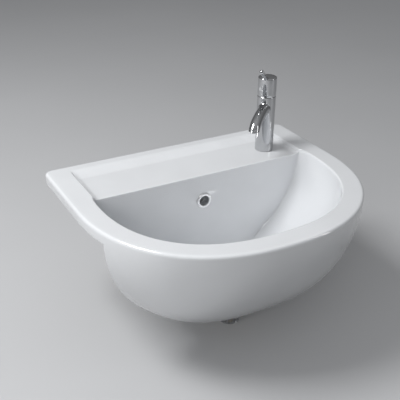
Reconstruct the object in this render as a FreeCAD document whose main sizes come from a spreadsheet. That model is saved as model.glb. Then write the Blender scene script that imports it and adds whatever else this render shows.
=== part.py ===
"""Semi recessed basin with its mixer tap, waste and overflow trim.

Frame: millimetres, +Z up, front of the basin towards -Y.  The counter's top
is the plane z = 0 and the basin's rear rim rests on it.  x = 0 is the centre
line and y = 0 lies 15 mm in from the rim's back edge.

Every size is a row of the sheet "Sizes".  Turned and plain pieces are
primitives bound to it by expressions.  The glazed shell and the tap's curved
casting are worked out from formulas that read the same sheet.
"""
import math
import os

import FreeCAD
import Part

# name, value or formula, what it is
DRIVING = (
    ("basin_width", "550", "over the rim, side to side"),
    ("basin_depth", "450", "over the rim, back edge to front"),
    ("rim_height", "20.5", "rim top above the counter"),
    ("back_inset", "15", "origin in from the rim's back edge"),
    ("counter_reach", "274", "counter's front edge from the rim's back edge"),
    ("front_bow", "273", "length of the curved front of the outline"),
    ("outline_power", "2.26", "roundness of the outline, 2 is an ellipse"),
    ("bowl_floor", "14", "between the bottoms of the outer and the inner curve"),
    ("foot_part", "0.985", "part of that height where the bowl is cut flat"),
    ("corner_radius", "15", "the two back corners, seen from above"),
    ("edge_radius", "4", "round over of the rim's outer edge"),
    ("band_side", "42", "rim width at the sides"),
    ("band_front", "43.5", "rim width at the front"),
    ("band_width", "30", "bearing band under the rim, on the counter"),
    ("lip_radius", "3", "rounding between the rim's top and the bowl"),
    ("band_step", "2", "underside inside the band stands this much higher"),
    ("deck_drop", "8.5", "tap deck below the rim"),
    ("deck_reach", "143.6", "deck's front edge from the rim's back edge"),
    ("deck_margin", "27", "rim width behind the deck"),
    ("deck_side", "40", "rim width beside the deck"),
    ("cove_width", "9", "slope between rim and deck"),
    ("bowl_dip", "3", "bottom of the inner bowl's curve below the drain's seat"),
    ("back_narrow", "6.5", "bowl narrower at its back wall, each side"),
    ("wall_lean", "0.035", "back wall's lean, forward per downward"),
    ("wall", "12", "thickness of the glazed shell"),
    ("drain_reach", "255", "drain's axis from the rim's back edge"),
    ("drain_depth", "203", "drain's seat below the rim top"),
    ("boss_thick", "23", "ceramic at the drain"),
    ("boss_radius", "43", "drain's boss"),
    ("drain_hole", "46", "hole for the waste"),
    ("flange_width", "64", "waste's flange"),
    ("tail_width", "41.9", "waste's threaded tail, a size one and a quarter"),
    ("tail_length", "76", "tail below the flange's seat"),
    ("tail_wall", "2.4", "wall of the tail"),
    ("plug_lift", "9", "how far the plug rises"),
    ("overflow_depth", "63", "overflow's centre below the rim top"),
    ("overflow_hole", "22", "hole in the back wall"),
    ("overflow_trim", "30", "trim ring's outer width"),
    ("duct_width", "34", "overflow passage"),
    ("duct_gap", "9", "overflow passage, front to back"),
    ("tap_in", "99.4", "tap's axis in from the side of the rim"),
    ("tap_back", "53.8", "tap's axis behind the deck's front edge"),
    ("hole_edge", "1.5", "tap's body beyond its hole, all round"),
    ("tap_width", "38", "tap's body"),
    ("tap_height", "118.5", "deck to the joint under the lever cap"),
    ("spout_turn", "47", "spout's heading, degrees from the front"),
    ("spout_reach", "96", "tap's axis to the outlet's axis"),
    ("spout_rise", "94", "spout's centre line where it leaves the body"),
    ("spout_climb", "4", "rise of the spout before its bend"),
    ("outlet_height", "78", "spout's end above the deck"),
    ("aerator_depth", "4.5", "aerator's thread in the spout's end"),
    ("spout_width", "22", "spout's tube"),
    ("spout_bore", "14", "waterway of the spout"),
    ("cap_height", "39", "lever cap"),
    ("lever_width", "9", "pin of the lever"),
    ("lever_length", "62", "pin of the lever"),
    ("lever_slope", "32", "pin's slope above level, degrees"),
    ("lift_angle", "20", "how far the lever lifts, degrees"),
    ("index_turn", "34", "screw cover's place round the cap, degrees"),
    ("cartridge_width", "25", "ceramic disc cartridge"),
    ("head_radius", "7", "turret's neck"),
    ("spindle_width", "7.6", "flat of the spindle"),
    ("stud_width", "8", "fixing stud"),
    ("stud_edge", "9", "stud's axis in from the side of the tap's body"),
    ("port_width", "9.2", "threaded hole of a hose"),
    ("port_side", "7", "hose's axis beside the tap's"),
    ("port_front", "4", "hose's axis in front of the tap's"),
    ("stem_radius", "4", "plug's stem"),
    ("seal_thick", "1.5", "flat seals"),
    ("gap", "0.3", "air left between curved faces that meet"),
    ("fit", "0.05", "radial clearance of shafts in their holes"),
)

DERIVED = (
    ("bowl_inner", "=drain_depth + bowl_dip", "rim top to the bottom of the inner bowl's curve"),
    ("bowl_height", "=bowl_inner + bowl_floor", "rim top to the bottom of the outer bowl's curve"),
    ("boss_depth", "=drain_depth + boss_thick", "underside of the drain's boss below the rim top"),
    ("tap_x", "=basin_width / 2 - tap_in", "tap's axis right of the centre line"),
    ("tap_reach", "=deck_reach - tap_back", "tap's axis from the rim's back edge"),
    ("tap_hole", "=tap_width - 2 * hole_edge", "hole for the tap"),
    ("stud_place", "=tap_radius - stud_edge", "stud behind the tap's axis"),
    ("deck_level", "=rim_height - deck_drop", "deck's surface"),
    ("tap_y", "=back_inset - tap_reach", "tap's axis"),
    ("drain_y", "=back_inset - drain_reach", "drain's axis"),
    ("seat_level", "=rim_height - drain_depth", "drain's seat"),
    ("boss_level", "=rim_height - boss_depth", "underside of the boss"),
    ("overflow_level", "=rim_height - overflow_depth", "overflow's centre"),
    ("tap_radius", "=tap_width / 2", "tap's body"),
    ("tail_radius", "=tail_width / 2", "waste's tail"),
    ("tail_bore", "=tail_radius - tail_wall", "inside of the tail"),
    ("cup_radius", "=cartridge_width / 2 + gap", "chamber of the cartridge"),
    ("nut_radius", "=cup_radius + 2.2", "thread above the cartridge"),
    ("cup_floor", "=tap_height - 34.5", "bottom of the chamber"),
    ("cup_top", "=tap_height - 10.5", "top of the cartridge"),
    ("pivot_level", "=tap_height + 2.5", "lever's pivot above the deck"),
    ("tap_bottom", "=band_step - deck_level", "underside of the deck from its surface"),
)


def make_sheet(doc):
    """The sheet of sizes: one row for each, its name is its alias."""
    sheet = doc.addObject("Spreadsheet::Sheet", "Sizes")
    for row, (alias, value, note) in enumerate(DRIVING + DERIVED, start=1):
        sheet.set("A%d" % row, alias)
        sheet.set("B%d" % row, value)
        sheet.set("C%d" % row, note)
        sheet.setAlias("B%d" % row, alias)
    doc.recompute()
    return sheet


def in_sheet(text):
    """An expression with each size's name pointed at the sheet."""
    names = {row[0] for row in DRIVING + DERIVED}
    word = ""
    out = ""
    for letter in text + " ":
        if letter.isalnum() or letter == "_":
            word += letter
            continue
        out += "Sizes." + word if word in names else word
        out += letter
        word = ""
    return out.strip()


def bind(piece, **properties):
    """Bind properties to expressions; an underscore stands for a dot."""
    for name, text in properties.items():
        piece.setExpression(name.replace("__", "."), in_sheet(text))


def at(piece, x="0", y="0", z="0"):
    """Bind a piece's place."""
    bind(piece, Placement__Base__x=x, Placement__Base__y=y, Placement__Base__z=z)
    return piece


class Kit:
    """Bound primitives and booleans of one document."""

    def __init__(self, doc):
        self.doc = doc

    def cylinder(self, radius, bottom, top, x="0", y="0"):
        """A standing cylinder between two levels."""
        piece = self.doc.addObject("Part::Cylinder", "rod")
        bind(piece, Radius=radius, Height="(%s) - (%s)" % (top, bottom))
        return at(piece, x, y, bottom)

    def lying(self, radius, start, length, turn, x="0", y="0", z="0", slope="0"):
        """A cylinder pointing to a heading in the plane, raised by a slope."""
        piece = self.doc.addObject("Part::Cylinder", "bar")
        bind(piece, Radius=radius, Height=length)
        heading = "(%s) * 1deg" % turn
        lean = "(90 - (%s))" % slope
        aside = "vector(cos(%s); sin(%s); 0)" % (heading, heading)
        piece.Placement = FreeCAD.Placement()
        bind(
            piece,
            Placement__Base__x="%s + (%s) * sin(%s * 1deg) * sin(%s)" % (x, start, lean, heading),
            Placement__Base__y="%s - (%s) * sin(%s * 1deg) * cos(%s)" % (y, start, lean, heading),
            Placement__Base__z="%s + (%s) * cos(%s * 1deg)" % (z, start, lean),
            Placement__Rotation="rotation(%s; %s)" % (aside, lean),
        )
        return piece

    def cone(self, low, high, bottom, top, x="0", y="0"):
        """A standing cone between two levels."""
        piece = self.doc.addObject("Part::Cone", "taper")
        bind(piece, Radius1=low, Radius2=high, Height="(%s) - (%s)" % (top, bottom))
        return at(piece, x, y, bottom)

    def ball(self, radius, x="0", y="0", z="0"):
        """A sphere."""
        piece = self.doc.addObject("Part::Sphere", "ball")
        bind(piece, Radius=radius)
        return at(piece, x, y, z)

    def block(self, wide, deep, bottom, top, x="0", y="0"):
        """A box centred on a point in the plane."""
        piece = self.doc.addObject("Part::Box", "block")
        bind(piece, Length=wide, Width=deep, Height="(%s) - (%s)" % (top, bottom))
        return at(piece, "%s - (%s) / 2" % (x, wide), "%s - (%s) / 2" % (y, deep), bottom)

    def hexagon(self, across, bottom, top, x="0", y="0"):
        """A six sided prism by its width across flats."""
        piece = self.doc.addObject("Part::Prism", "hexagon")
        piece.Polygon = 6
        bind(piece, Circumradius="(%s) / sqrt(3)" % across, Height="(%s) - (%s)" % (top, bottom))
        return at(piece, x, y, bottom)

    def ring(self, outer, inner, bottom, top, x="0", y="0"):
        """A flat ring between two levels."""
        hole = self.cylinder(inner, "(%s) - 1" % bottom, "(%s) + 1" % top, x, y)
        return self.cut(self.cylinder(outer, bottom, top, x, y), hole)

    def fuse(self, *pieces):
        """One solid of several."""
        piece = self.doc.addObject("Part::MultiFuse", "joined")
        piece.Shapes = list(pieces)
        piece.Refine = True
        return piece

    def cut(self, base, *tools):
        """The base without the tools."""
        piece = self.doc.addObject("Part::Cut", "cut")
        piece.Base = base
        piece.Tool = tools[0] if len(tools) == 1 else self.fuse(*tools)
        return piece

    def common(self, first, second):
        """What two pieces share."""
        piece = self.doc.addObject("Part::Common", "common")
        piece.Base = first
        piece.Tool = second
        return piece

    def solid(self, shape):
        """A piece worked out by formula."""
        piece = self.doc.addObject("Part::Feature", "formed")
        piece.Shape = shape
        return piece


# ---------------------------------------------------------------- formed shapes

def reader(sheet):
    """A function that gives a size from the sheet as a number."""
    return lambda alias: float(sheet.get(alias))


def arch(half_wide, front, rear, centre, power, back, level, count=28):
    """Points of a rounded outline from its right back end round to its left.

    x = a cos(p)^(2/n) and y = centre - b sin(p)^(2/n); behind the centre the
    rear half axis takes b's place, up to the straight back at y = back.
    """
    span = max(back - centre, 0.0)
    share = min(span / rear, 0.98) if rear > 0 else 0.0
    start = -math.asin(share ** (power / 2)) if share > 0 else 0.0
    points = []
    for step in range(count + 1):
        angle = start + (math.pi - 2 * start) * step / count
        across, along = math.cos(angle), math.sin(angle)
        x = half_wide * math.copysign(abs(across) ** (2 / power), across)
        axis = front if along > 0 else rear
        y = centre - axis * math.copysign(abs(along) ** (2 / power), along)
        points.append(FreeCAD.Vector(x, y, level))
    return points


def curve_through(points, ends=None):
    """A smooth curve through points, straight away at both ends if told."""
    curve = Part.BSplineCurve()
    if ends is None:
        curve.interpolate(Points=points)
    else:
        curve.interpolate(Points=points, InitialTangent=ends[0], FinalTangent=ends[1])
    return curve.toShape()


def outline_wire(half_wide, front, centre, power, back, level):
    """A D: straight back and sides, rounded front."""
    points = arch(half_wide, front, 0, centre, power, centre, level)
    front_edge = curve_through(points, (FreeCAD.Vector(0, -1, 0), FreeCAD.Vector(0, 1, 0)))
    right = FreeCAD.Vector(half_wide, back, level)
    left = FreeCAD.Vector(-half_wide, back, level)
    sides = (Part.makeLine(right, points[0]), Part.makeLine(points[-1], left))
    return Part.Wire([sides[0], front_edge, sides[1], Part.makeLine(left, right)])


def bowl_wire(half_wide, front, rear, centre, power, back, level):
    """A bowl's level line: rounded, closed by its straight back."""
    points = arch(half_wide, front, rear, centre, power, back, level)
    return Part.Wire([curve_through(points), Part.makeLine(points[-1], points[0])])


def outer_bowl(g):
    """The outside of the basin from the rim top to the flat foot.

    The level line's half width and front length fall off as powers of the
    depth; below the counter only the part in front of it is kept.
    """
    centre = g("back_inset") - (g("basin_depth") - g("front_bow"))
    wires = []
    for part in (0, 0.05, 0.12, 0.22, 0.34, 0.47, 0.6, 0.72, 0.82, 0.9, 0.95, g("foot_part")):
        half_wide = g("basin_width") / 2 * (1 - part ** 2.10) ** (1 / 3.28)
        front = g("front_bow") * (1 - part ** 1.08) ** (1 / 4.93)
        power = g("outline_power") + 0.59 * part
        level = g("rim_height") - part * g("bowl_height")
        wires.append(outline_wire(half_wide, front, centre, power, g("back_inset"), level))
    shape = Part.makeLoft(wires, True, False)
    behind = g("counter_reach")
    below = Part.makeBox(
        2 * g("basin_width"), behind, g("boss_depth") + 20,
        FreeCAD.Vector(-g("basin_width"), g("back_inset") - behind, -g("boss_depth") - 20))
    inset = g("band_width")
    hollow = Part.makeBox(
        g("basin_width") - 2 * inset, behind - inset, g("band_step") + 1,
        FreeCAD.Vector(inset - g("basin_width") / 2, g("back_inset") - behind, -1))
    return round_back(shape.cut(below).cut(hollow), g)


def round_back(shape, g):
    """Round the two back corners and then the rim's outer edge."""
    reach = g("basin_width") / 2
    corners = [e for e in shape.Edges if is_back_corner(e, reach, g("back_inset"))]
    if corners:
        shape = shape.makeFillet(g("corner_radius"), corners)
    top = [e for e in shape.Edges if e.BoundBox.ZMin > g("rim_height") - 0.01]
    return shape.makeFillet(g("edge_radius"), top)


def round_lip(shape, g):
    """Round the edge where the rim's top turns down into the bowl."""
    top, reach, back = g("rim_height"), g("basin_width") / 2, g("back_inset") - g("deck_reach")
    lip = [e for e in shape.Edges
           if e.BoundBox.ZMin > top - 0.01 and e.BoundBox.YMax < back
           and max(e.BoundBox.XMax, -e.BoundBox.XMin) < reach - g("band_side") / 2]
    return shape.makeFillet(g("lip_radius"), lip)


def is_back_corner(edge, reach, back):
    """Whether an edge is one of the rim's two upright back corners."""
    box = edge.BoundBox
    return box.YMin > back - 0.1 and abs(abs(box.Center.x) - reach) < 2 and box.ZLength > 1


def bowl_solid(g, grow):
    """The bowl's inside, or with a growth the outside of its shell.

    Half width and length follow a quarter ellipse of the depth; the back wall
    leans forward a little and turns in to the drain near the bottom.
    """
    half_top = g("basin_width") / 2 - g("band_side")
    centre_top = g("back_inset") - (g("basin_depth") - g("front_bow"))
    front_top = g("front_bow") - g("band_front")
    back_top = g("back_inset") - g("deck_reach")
    depth = g("bowl_inner")
    wires = []
    for angle in (0, 10, 20, 30, 39, 47, 54, 60, 65.5, 70.5, 75):
        sink = math.sin(math.radians(angle))
        narrow = math.cos(math.radians(angle))
        level = g("rim_height") - (depth + grow) * sink
        half_wide = half_top * narrow + grow
        front = front_top * (1 - sink ** 2.3) ** (1 / 2.3) + grow
        centre = centre_top + (g("drain_y") - centre_top) * sink ** 3
        back = back_top - g("wall_lean") * depth * sink - 60 * sink ** 14 + grow
        at_back = half_wide - g("back_narrow") * narrow ** 0.5
        power = 2.4 - 0.3 * sink ** 2
        share = 1 - (at_back / half_wide) ** power
        rear = (back - centre) / share ** (1 / power)
        wires.append(bowl_wire(half_wide, front, rear, centre, power, back, level))
    return Part.makeLoft(wires, True, False)


def raise_top(shape, height):
    """A shape carried on upwards from its flat top, so that it cuts clean."""
    top = max(shape.Faces, key=lambda face: face.CenterOfMass.z)
    return shape.fuse(top.extrude(FreeCAD.Vector(0, 0, height)))


def deck_recess(g):
    """The sunk tap deck: a tray with sloping sides, open to the bowl."""
    back = g("back_inset") - g("deck_margin")
    half = g("basin_width") / 2 - g("deck_side")
    front = g("back_inset") - g("deck_reach") - 6
    slope = g("cove_width") / g("deck_drop")
    wires = []
    for rise in (0, g("deck_drop") + 2):
        spread = slope * rise - g("cove_width")
        right, top = half + spread, back + spread
        level = g("deck_level") + rise
        corner = g("corner_radius")
        wires.append(tray_wire(right, front, top, corner + spread, level))
    return Part.makeLoft(wires, True, True)


def tray_wire(half, front, back, corner, level):
    """A rectangle whose two back corners are rounded."""
    mid = corner * (1 - math.sqrt(0.5))

    def point(x, y):
        return FreeCAD.Vector(x, y, level)

    def corner_arc(first, middle, last):
        return Part.Arc(first, middle, last).toShape()

    edges = [
        Part.makeLine(point(-half, front), point(half, front)),
        Part.makeLine(point(half, front), point(half, back - corner)),
        corner_arc(point(half, back - corner), point(half - mid, back - mid), point(half - corner, back)),
        Part.makeLine(point(half - corner, back), point(-half + corner, back)),
        corner_arc(point(-half + corner, back), point(-half + mid, back - mid), point(-half, back - corner)),
        Part.makeLine(point(-half, back - corner), point(-half, front)),
    ]
    return Part.Wire(edges)


def spout_shape(g, radius, end):
    """A tube from the tap's axis: a gentle climb and a round bend down."""
    reach, rise, climb = g("spout_reach"), g("spout_rise"), g("spout_climb")
    bend = rise + climb - g("outlet_height")
    slope = math.atan2(climb, reach - bend)
    centre = FreeCAD.Vector(0, -(reach - bend), rise + climb - bend)
    start = FreeCAD.Vector(0, 0, rise)

    def on_bend(angle):
        return centre + FreeCAD.Vector(0, -bend * math.sin(angle), bend * math.cos(angle))
    first, middle, last = on_bend(-slope), on_bend((math.pi / 2 - slope) / 2), on_bend(math.pi / 2)
    edges = [Part.makeLine(start, first), Part.Arc(first, middle, last).toShape()]
    if end > 0:
        edges.append(Part.makeLine(last, last - FreeCAD.Vector(0, 0, end)))
    heading = (first - start).normalize()
    profile = Part.Wire([Part.Circle(start, heading, radius).toShape()])
    return Part.Wire(edges).makePipeShell([profile], True, False, 1)


# ---------------------------------------------------------------------- basin

def basin_body(kit, g):
    """Glazed shell: rim slab, apron, bowl, tap deck, overflow passage."""
    shell = outer_bowl(g).fuse(rear_shell(g))
    shell = shell.fuse(overflow_boss(g)).fuse(drain_boss(g))
    bowl = raise_top(bowl_solid(g, 0), 10)
    shell = shell.cut(bowl).cut(deck_recess(g))
    formed = kit.solid(round_lip(shell.removeSplitter(), g))
    tap = kit.cylinder("tap_hole / 2", "-1", "rim_height", "tap_x", "tap_y")
    seat = kit.cylinder("flange_width / 2 + 2", "seat_level", "seat_level + 12", y="drain_y")
    drain = kit.cylinder("drain_hole / 2", "boss_level - 1", "seat_level + 1", y="drain_y")
    duct_y = "back_inset - deck_reach + wall + duct_gap / 2"
    riser = kit.block("duct_width", "duct_gap", "boss_level + wall / 2",
                      "overflow_level + overflow_hole / 2 + 2", y=duct_y)
    run_long = "drain_reach - deck_reach + wall + duct_gap"
    run = kit.block("duct_width", run_long, "boss_level + wall / 2", "boss_level + wall / 2 + duct_gap",
                    y="drain_y + (%s) / 2" % run_long)
    mouth = kit.lying("overflow_hole / 2", "-wall - 5", "wall + 30", "0",
                      y="back_inset - deck_reach", z="overflow_level")
    return kit.cut(formed, tap, seat, drain, riser, run, mouth)


def rear_shell(g):
    """The bowl's shell behind the counter's edge, below the rim."""
    shape = bowl_solid(g, g("wall"))
    lid = Part.makeBox(
        2 * g("basin_width"), 2 * g("basin_depth"), 50,
        FreeCAD.Vector(-g("basin_width"), -1.5 * g("basin_depth"), g("rim_height") / 2))
    return shape.cut(lid)


def overflow_boss(g):
    """The housing of the overflow passage, down the back and under the bowl."""
    wide = g("duct_width") + 2 * g("wall")
    back = g("back_inset") - g("deck_reach") + 2 * g("wall") + g("duct_gap") - 3
    low = g("boss_depth") - g("rim_height")
    upright = Part.makeBox(wide, back - g("back_inset") + g("deck_reach") + 4, low + 1,
                           FreeCAD.Vector(-wide / 2, g("back_inset") - g("deck_reach") - 4, -low))
    under = Part.makeBox(wide, back - g("drain_y"), 32, FreeCAD.Vector(-wide / 2, g("drain_y"), -low))
    shape = upright.fuse(under).removeSplitter()
    upright_edges = [e for e in shape.Edges if e.BoundBox.YMin > back - 0.1 and e.BoundBox.XLength < 0.1]
    return shape.makeFillet(8, upright_edges)


def drain_boss(g):
    """The round boss under the drain."""
    low = g("rim_height") - g("boss_depth")
    return Part.makeCylinder(g("boss_radius"), 30, FreeCAD.Vector(0, g("drain_y"), low))


def overflow_ring(kit):
    """Trim ring with a barrel in the back wall's hole, seen from the bowl."""
    flange = kit.lying("overflow_trim / 2", "0", "2.6", "0")
    barrel = kit.lying("overflow_hole / 2 - gap", "-wall + 2", "wall", "0")
    bore = kit.lying("overflow_hole / 2 - 1.6", "-wall - 2", "wall + 8", "0")
    flare = kit.doc.addObject("Part::Cone", "flare")
    bind(flare, Radius1="overflow_hole / 2 - 1.6", Radius2="overflow_hole / 2 + 0.6", Height="2.4")
    flare.Placement = FreeCAD.Placement(
        FreeCAD.Vector(0, -0.5, 0), FreeCAD.Rotation(FreeCAD.Vector(1, 0, 0), 90))
    piece = kit.cut(kit.fuse(flange, barrel), bore, flare)
    wall_here = "back_inset - deck_reach - wall_lean * overflow_depth"
    return at(piece, y=wall_here + " - gap - 0.4", z="overflow_level")


# ---------------------------------------------------------------------- waste

def on_drain(piece):
    """Put a piece built about the drain's seat in its place."""
    return at(piece, y="drain_y", z="seat_level")


def waste_body(kit):
    """Chromed flange and threaded tail with two overflow slots and a spider."""
    flange = kit.cone("flange_width / 2", "flange_width / 2 - 1.2", "seal_thick", "seal_thick + 2.5")
    tail = kit.cylinder("tail_radius", "-tail_length", "seal_thick + 1")
    bore = kit.cylinder("tail_bore", "-tail_length - 1", "seal_thick + 6")
    mouth = kit.cone("tail_bore", "tail_bore + 4", "seal_thick - 1.6", "seal_thick + 2.6")
    slots = kit.block("tail_width + 10", "14", "-boss_thick + 4", "-4")
    relief = kit.ring("tail_radius + 1", "tail_radius - 1", "-boss_thick - 24", "-boss_thick - 22")
    shell = kit.cut(kit.fuse(flange, tail), bore, mouth, slots, relief)
    bar_x = kit.block("2 * tail_bore + 2", "3.2", "-36", "-31")
    bar_y = kit.block("3.2", "2 * tail_bore + 2", "-36", "-31")
    hub = kit.cylinder("9", "-36", "-31")
    hole = kit.cylinder("stem_radius + 2 + fit", "-40", "-28")
    return on_drain(kit.cut(kit.fuse(shell, bar_x, bar_y, hub), hole))


def waste_top_seal(kit):
    """Flat rubber ring between the flange and the ceramic."""
    return on_drain(kit.ring("flange_width / 2 - 1", "drain_hole / 2 + 0.5", "0", "seal_thick"))


def waste_bottom_seal(kit):
    """Thick tapered rubber under the boss."""
    body = kit.cone("26", "34", "-boss_thick - 10", "-boss_thick")
    hole = kit.cylinder("tail_radius + gap", "-boss_thick - 11", "-boss_thick + 1")
    return on_drain(kit.cut(body, hole))


def waste_washer(kit):
    """Slip washer under the tapered seal."""
    return on_drain(kit.ring("30", "tail_radius + gap", "-boss_thick - 12", "-boss_thick - 10"))


def waste_backnut(kit):
    """Six sided nut that pulls the waste down."""
    body = kit.hexagon("54", "-boss_thick - 22", "-boss_thick - 12")
    collar = kit.cylinder("28.5", "-boss_thick - 15", "-boss_thick - 12")
    hole = kit.cylinder("tail_radius + fit", "-boss_thick - 30", "-boss_thick - 8")
    return on_drain(kit.cut(kit.fuse(body, collar), hole))


def plug_cartridge(kit):
    """Spring latch of the push plug, screwed in the spider."""
    post = kit.cylinder("stem_radius + 2", "-44", "-28")
    head = kit.cylinder("8.5", "-31", "-16")
    hole = kit.cylinder("stem_radius + fit", "-43", "-10")
    return on_drain(kit.cut(kit.fuse(post, head), hole))


def plug_stem(kit):
    """Plunger under the plug."""
    rod = kit.cylinder("stem_radius", "-30", "seal_thick + 3.1")
    collar = kit.cylinder("6.5", "seal_thick - 3", "seal_thick + 3.1")
    return on_drain(kit.fuse(rod, collar))


def plug_cap(kit):
    """Shallow domed cover that closes the waste."""
    rim = kit.cylinder("flange_width / 2 - 1.5", "seal_thick + 3.1", "seal_thick + 5")
    dome = kit.common(
        kit.ball("120", z="seal_thick + 8.6 - 120"),
        kit.cylinder("flange_width / 2 - 1.5", "seal_thick + 4", "seal_thick + 12"))
    return on_drain(kit.fuse(rim, dome))


def plug_seal(kit):
    """Rubber ring under the plug."""
    ring = kit.ring("tail_bore + 2.2", "tail_bore - 4", "seal_thick + 1.2", "seal_thick + 3.1")
    return on_drain(ring)


# ------------------------------------------------------------------------ tap

def on_deck(piece):
    """Put a piece built about the tap's axis in its place, spout outward."""
    at(piece, "tap_x", "tap_y", "deck_level")
    bind(piece, Placement__Rotation="rotation(vector(0; 0; 1); 0 - spout_turn)")
    return piece


def tap_body(kit, g):
    """Chromed casting: upright cylinder with its curved spout."""
    column = kit.cylinder("tap_radius", "gap", "tap_height")
    tube = kit.solid(spout_shape(g, g("spout_width") / 2, 0))
    below = kit.cylinder("tap_radius - 3.5", "-1", "tap_height - 56")
    recess = kit.cylinder("tap_radius - 0.7", "-1", "seal_thick")
    chamber = kit.cylinder("cup_radius", "cup_floor", "tap_height + 1")
    thread = kit.cylinder("nut_radius", "cup_top", "tap_height + 1")
    waterway = kit.solid(spout_shape(g, g("spout_bore") / 2, 1))
    socket = kit.cylinder(
        "spout_width / 2 - 1.6", "outlet_height - 1", "outlet_height + aerator_depth", y="-spout_reach")
    inlets = [
        kit.cylinder("port_width / 2", "tap_height - 60", "cup_floor + 1", side, "-port_front")
        for side in ("-port_side", "port_side")]
    stud = kit.cylinder("stud_width / 2 + fit", "tap_height - 60", "tap_height - 42", y="stud_place")
    hollows = (below, recess, waterway, chamber, thread, socket, stud, *inlets)
    return on_deck(kit.cut(kit.fuse(column, tube), *hollows))


def tap_base_seal(kit):
    """Rubber ring in the recess of the body's foot."""
    return on_deck(kit.ring("tap_radius - 1", "tap_radius - 3.2", "0", "seal_thick"))


def aerator_housing(kit):
    """Chromed ring screwed in the spout's end."""
    outer = kit.cylinder(
        "spout_width / 2 - 1.6 - fit", "outlet_height - 1", "outlet_height + aerator_depth", y="-spout_reach")
    lip = kit.cylinder("spout_width / 2 - 0.3", "outlet_height - 3", "outlet_height - gap", y="-spout_reach")
    bore = kit.cylinder("spout_width / 2 - 3", "outlet_height - 5", "outlet_height + 9", y="-spout_reach")
    return on_deck(kit.cut(kit.fuse(outer, lip), bore))


def aerator_insert(kit):
    """Plastic mesh insert of the aerator."""
    disc = kit.cylinder(
        "spout_width / 2 - 3 - fit", "outlet_height - 1.5", "outlet_height + aerator_depth", y="-spout_reach")
    holes = []
    for ring_radius, count in ((2.6, 6), (5.6, 12)):
        for step in range(count):
            turn = 2 * math.pi * step / count
            aside = "%.3f" % (ring_radius * math.sin(turn))
            along = "-spout_reach + %.3f" % (ring_radius * math.cos(turn))
            holes.append(kit.cylinder("0.75", "outlet_height - 3", "outlet_height + 9", aside, along))
    return on_deck(kit.cut(disc, *holes))


def tap_cartridge(kit):
    """Ceramic disc cartridge's case."""
    case = kit.cylinder("cartridge_width / 2", "cup_floor", "cup_top")
    well = kit.cylinder("head_radius + 1.5", "cup_top - 8", "cup_top + 1")
    return on_deck(kit.cut(case, well))


def cartridge_nut(kit):
    """Brass ring nut that holds the cartridge down."""
    body = kit.cylinder("nut_radius - fit", "cup_top", "tap_height - 0.5")
    hole = kit.cylinder("head_radius + 2", "cup_top - 1", "tap_height + 1")
    notches = kit.block("2 * nut_radius + 2", "4", "tap_height - 3", "tap_height + 1")
    return on_deck(kit.cut(body, hole, notches))


def tap_dome(kit):
    """Low chromed shroud over the nut, inside the lever cap."""
    dome = kit.cone("14.5", "11.5", "tap_height - 0.5", "tap_height + 3")
    hollow = kit.cone("13.2", "10.2", "tap_height - 1.5", "tap_height + 2")
    hole = kit.cylinder("head_radius + 1", "tap_height - 2", "tap_height + 4")
    return on_deck(kit.cut(dome, hollow, hole))


def cartridge_turret(kit):
    """Turning part of the cartridge, forked for the spindle."""
    foot = kit.cylinder("head_radius + 1.4", "cup_top - 8", "cup_top - 4")
    neck = kit.cylinder("head_radius", "cup_top - 6", "pivot_level + 4.5")
    slot = kit.block("spindle_width + 0.4", "30", "pivot_level - 8", "pivot_level + 8")
    hole = kit.lying("2 + fit", "-12", "24", "90", z="pivot_level")
    return on_deck(kit.cut(kit.fuse(foot, neck), slot, hole))


def lever_pin(kit):
    """Steel pin across the fork."""
    rod = kit.lying("2", "-head_radius + 0.4", "2 * head_radius - 0.8", "90", z="pivot_level")
    hollow = kit.lying("0.9", "-head_radius", "2 * head_radius", "90", z="pivot_level")
    return on_deck(kit.cut(rod, hollow))


def lever_spindle(kit):
    """Rocking spindle that carries the lever cap."""
    flat = kit.block("spindle_width", "spindle_width", "pivot_level - 5", "pivot_level + 8.5")
    stem = kit.cylinder("spindle_width / 2", "pivot_level + 8", "pivot_level + 26")
    hole = kit.lying("2 + fit", "-12", "24", "90", z="pivot_level")
    return on_deck(kit.cut(kit.fuse(flat, stem), hole))


def rear_relief(g):
    """A wedge under the cap's rear half, opening to the back."""
    reach = g("tap_radius") + 4
    low = g("tap_height") - 1
    rise = reach * math.tan(math.radians(g("lift_angle") + 1)) + 1 + g("gap")
    side = ((0, low), (reach, low), (reach, low + rise), (0, low + 1))
    corners = [FreeCAD.Vector(-reach, y, z) for y, z in side]
    face = Part.Face(Part.makePolygon(corners + corners[:1]))
    return face.extrude(FreeCAD.Vector(2 * reach, 0, 0))


def lever_cap(kit, g):
    """Chromed cap with its pin lever; relieved behind so that it can tilt."""
    shell = kit.cylinder("tap_radius", "tap_height + gap", "tap_height + cap_height - 4")
    crown = kit.cone(
        "tap_radius", "tap_radius - 2.5", "tap_height + cap_height - 4", "tap_height + cap_height")
    root = "tap_height + cap_height - 7"
    pin = kit.lying("lever_width / 2", "0", "lever_length", "0", y="-4", z=root, slope="lever_slope")
    knob = kit.ball(
        "lever_width / 2",
        y="-4 - lever_length * cos(lever_slope * 1deg)",
        z="tap_height + cap_height - 7 + lever_length * sin(lever_slope * 1deg)")
    hollow = kit.cylinder("tap_radius - 2.2", "tap_height - 1", "pivot_level + 9")
    socket = kit.cylinder("spindle_width / 2 + fit", "pivot_level + 8", "pivot_level + 26.5")
    screw = kit.lying("2.5 + fit", "1", "30", "0 - index_turn", z="pivot_level + 14")
    cover = kit.lying("3.6 + fit", "tap_radius - 4", "9", "0 - index_turn", z="pivot_level + 14")
    body = kit.fuse(shell, crown, pin, knob)
    return on_deck(kit.cut(body, hollow, socket, screw, cover, kit.solid(rear_relief(g))))


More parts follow.
